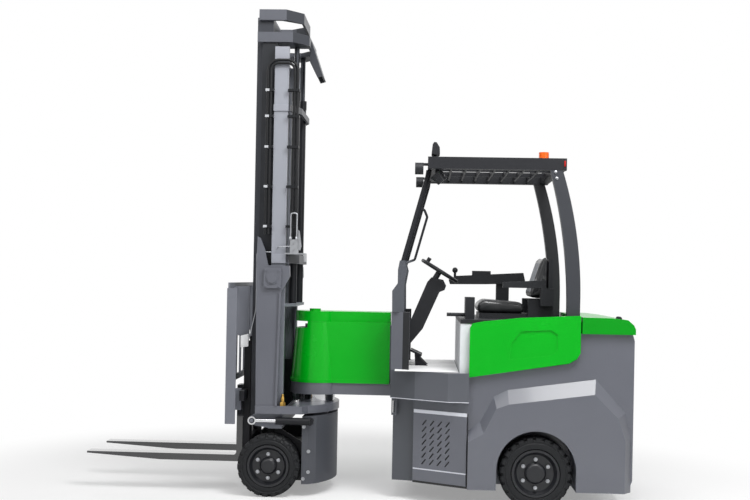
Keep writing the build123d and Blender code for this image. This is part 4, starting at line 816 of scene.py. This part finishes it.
# Studio
# A plain white floor that runs on into the backdrop, with a soft shadow under the truck. Large
# soft lamps stand on both sides of the camera, overhead and behind, and a smaller one lights the
# facet over the rear wheel.
EYE = Vector((0.446, -7.638, 1.4365))
YAW = math.radians(2.5)
ROLL = math.radians(1.1)
camera_data = bpy.data.cameras.new("photo camera")
camera_data.sensor_width = 36.0
camera_data.lens = 53.4
camera_data.shift_y = 29 / 750
camera = bpy.data.objects.new("photo camera", camera_data)
bpy.context.collection.objects.link(camera)
UPRIGHT = math.radians(90)
turn = Matrix.Rotation(YAW, 4, "Z") @ Matrix.Rotation(UPRIGHT, 4, "X") @ Matrix.Rotation(ROLL, 4, "Z")
camera.matrix_world = Matrix.Translation(EYE) @ turn
bpy.context.scene.camera = camera

FLOOR_HALF = 60.0
floor_mesh = bpy.data.meshes.new("studio_floor")
corners = [(-FLOOR_HALF, -FLOOR_HALF, 0), (FLOOR_HALF, -FLOOR_HALF, 0), (FLOOR_HALF, FLOOR_HALF, 0),
           (-FLOOR_HALF, FLOOR_HALF, 0)]
floor_mesh.from_pydata(corners, [], [(0, 1, 2, 3)])
floor = bpy.data.objects.new("studio_floor", floor_mesh)
bpy.context.collection.objects.link(floor)
floor_white, tree, shader = new_material("white studio floor")
shader.inputs["Base Color"].default_value = (0.93, 0.93, 0.93, 1.0)
shader.inputs["Roughness"].default_value = 0.8
place = node(tree, "ShaderNodeTexCoord")
span = node(tree, "ShaderNodeVectorMath", {"operation": "LENGTH"}, links={0: (place, "Object")})
far = node(tree, "ShaderNodeMapRange", {"interpolation_type": "SMOOTHSTEP"},
           {"From Min": 2.0, "From Max": 3.6, "To Min": 0.30, "To Max": 1.0}, {"Value": (span, "Value")})
path = node(tree, "ShaderNodeLightPath")
shown = node(tree, "ShaderNodeMath", {"operation": "MULTIPLY"},
             links={0: (far, "Result"), 1: (path, "Is Camera Ray")})
glow = node(tree, "ShaderNodeEmission", inputs={"Color": (1, 1, 1, 1), "Strength": 1.0})
both = node(tree, "ShaderNodeMixShader",
            links={"Fac": (shown, "Value"), 1: (shader, "BSDF"), 2: (glow, "Emission")})
output = [n for n in tree.nodes if n.type == "OUTPUT_MATERIAL"][0]
tree.links.new(both.outputs["Shader"], output.inputs["Surface"])
floor_mesh.materials.append(floor_white)

world = bpy.data.worlds.new("studio light")
world.use_nodes = True
bpy.context.scene.world = world
tree = world.node_tree
tree.nodes.clear()
path = node(tree, "ShaderNodeLightPath")
seen = node(tree, "ShaderNodeMath", {"operation": "MAXIMUM"},
            links={0: (path, "Is Camera Ray"), 1: (path, "Is Glossy Ray")})
seen = node(tree, "ShaderNodeMath", {"operation": "MAXIMUM"},
            links={0: (seen, "Value"), 1: (path, "Is Transmission Ray")})
fill = node(tree, "ShaderNodeBackground", inputs={"Color": (1, 1, 1, 1), "Strength": 0.22})
white = node(tree, "ShaderNodeBackground", inputs={"Color": (1, 1, 1, 1), "Strength": 1.0})
mixed = node(tree, "ShaderNodeMixShader", links={"Fac": (seen, "Value"), 1: (fill, "Background"),
                                                 2: (white, "Background")})
node(tree, "ShaderNodeOutputWorld", links={"Surface": (mixed, "Shader")})

LAMPS = (
    # name, place, target, size, watts
    ("key", (-3.5, -5.5, 5.0), (0, 0, 1.0), 3.0, 106),
    ("side", (4.5, -5.0, 3.5), (0.6, 0, 1.0), 3.0, 75),
    ("overhead", (0.6, -2.8, 5.8), (0.4, 0, 0.9), 4.0, 142),
    ("far left", (-4.5, 5.5, 4.5), (0, 0, 1.0), 3.0, 78),
    ("far right", (4.5, 5.5, 4.5), (0.6, 0, 1.0), 3.0, 78),
    ("strip", (1.75, -2.60, 4.75), (1.25, -0.6, 0.72), 1.6, 125),
)
for name, place, target, size, watts in LAMPS:
    data = bpy.data.lights.new(name, "AREA")
    data.size = size
    data.energy = watts
    lamp = bpy.data.objects.new(name, data)
    lamp.location = place
    lamp.rotation_euler = (Vector(target) - Vector(place)).to_track_quat("-Z", "Y").to_euler()
    bpy.context.collection.objects.link(lamp)

scene = bpy.context.scene
scene.view_settings.view_transform = "Standard"
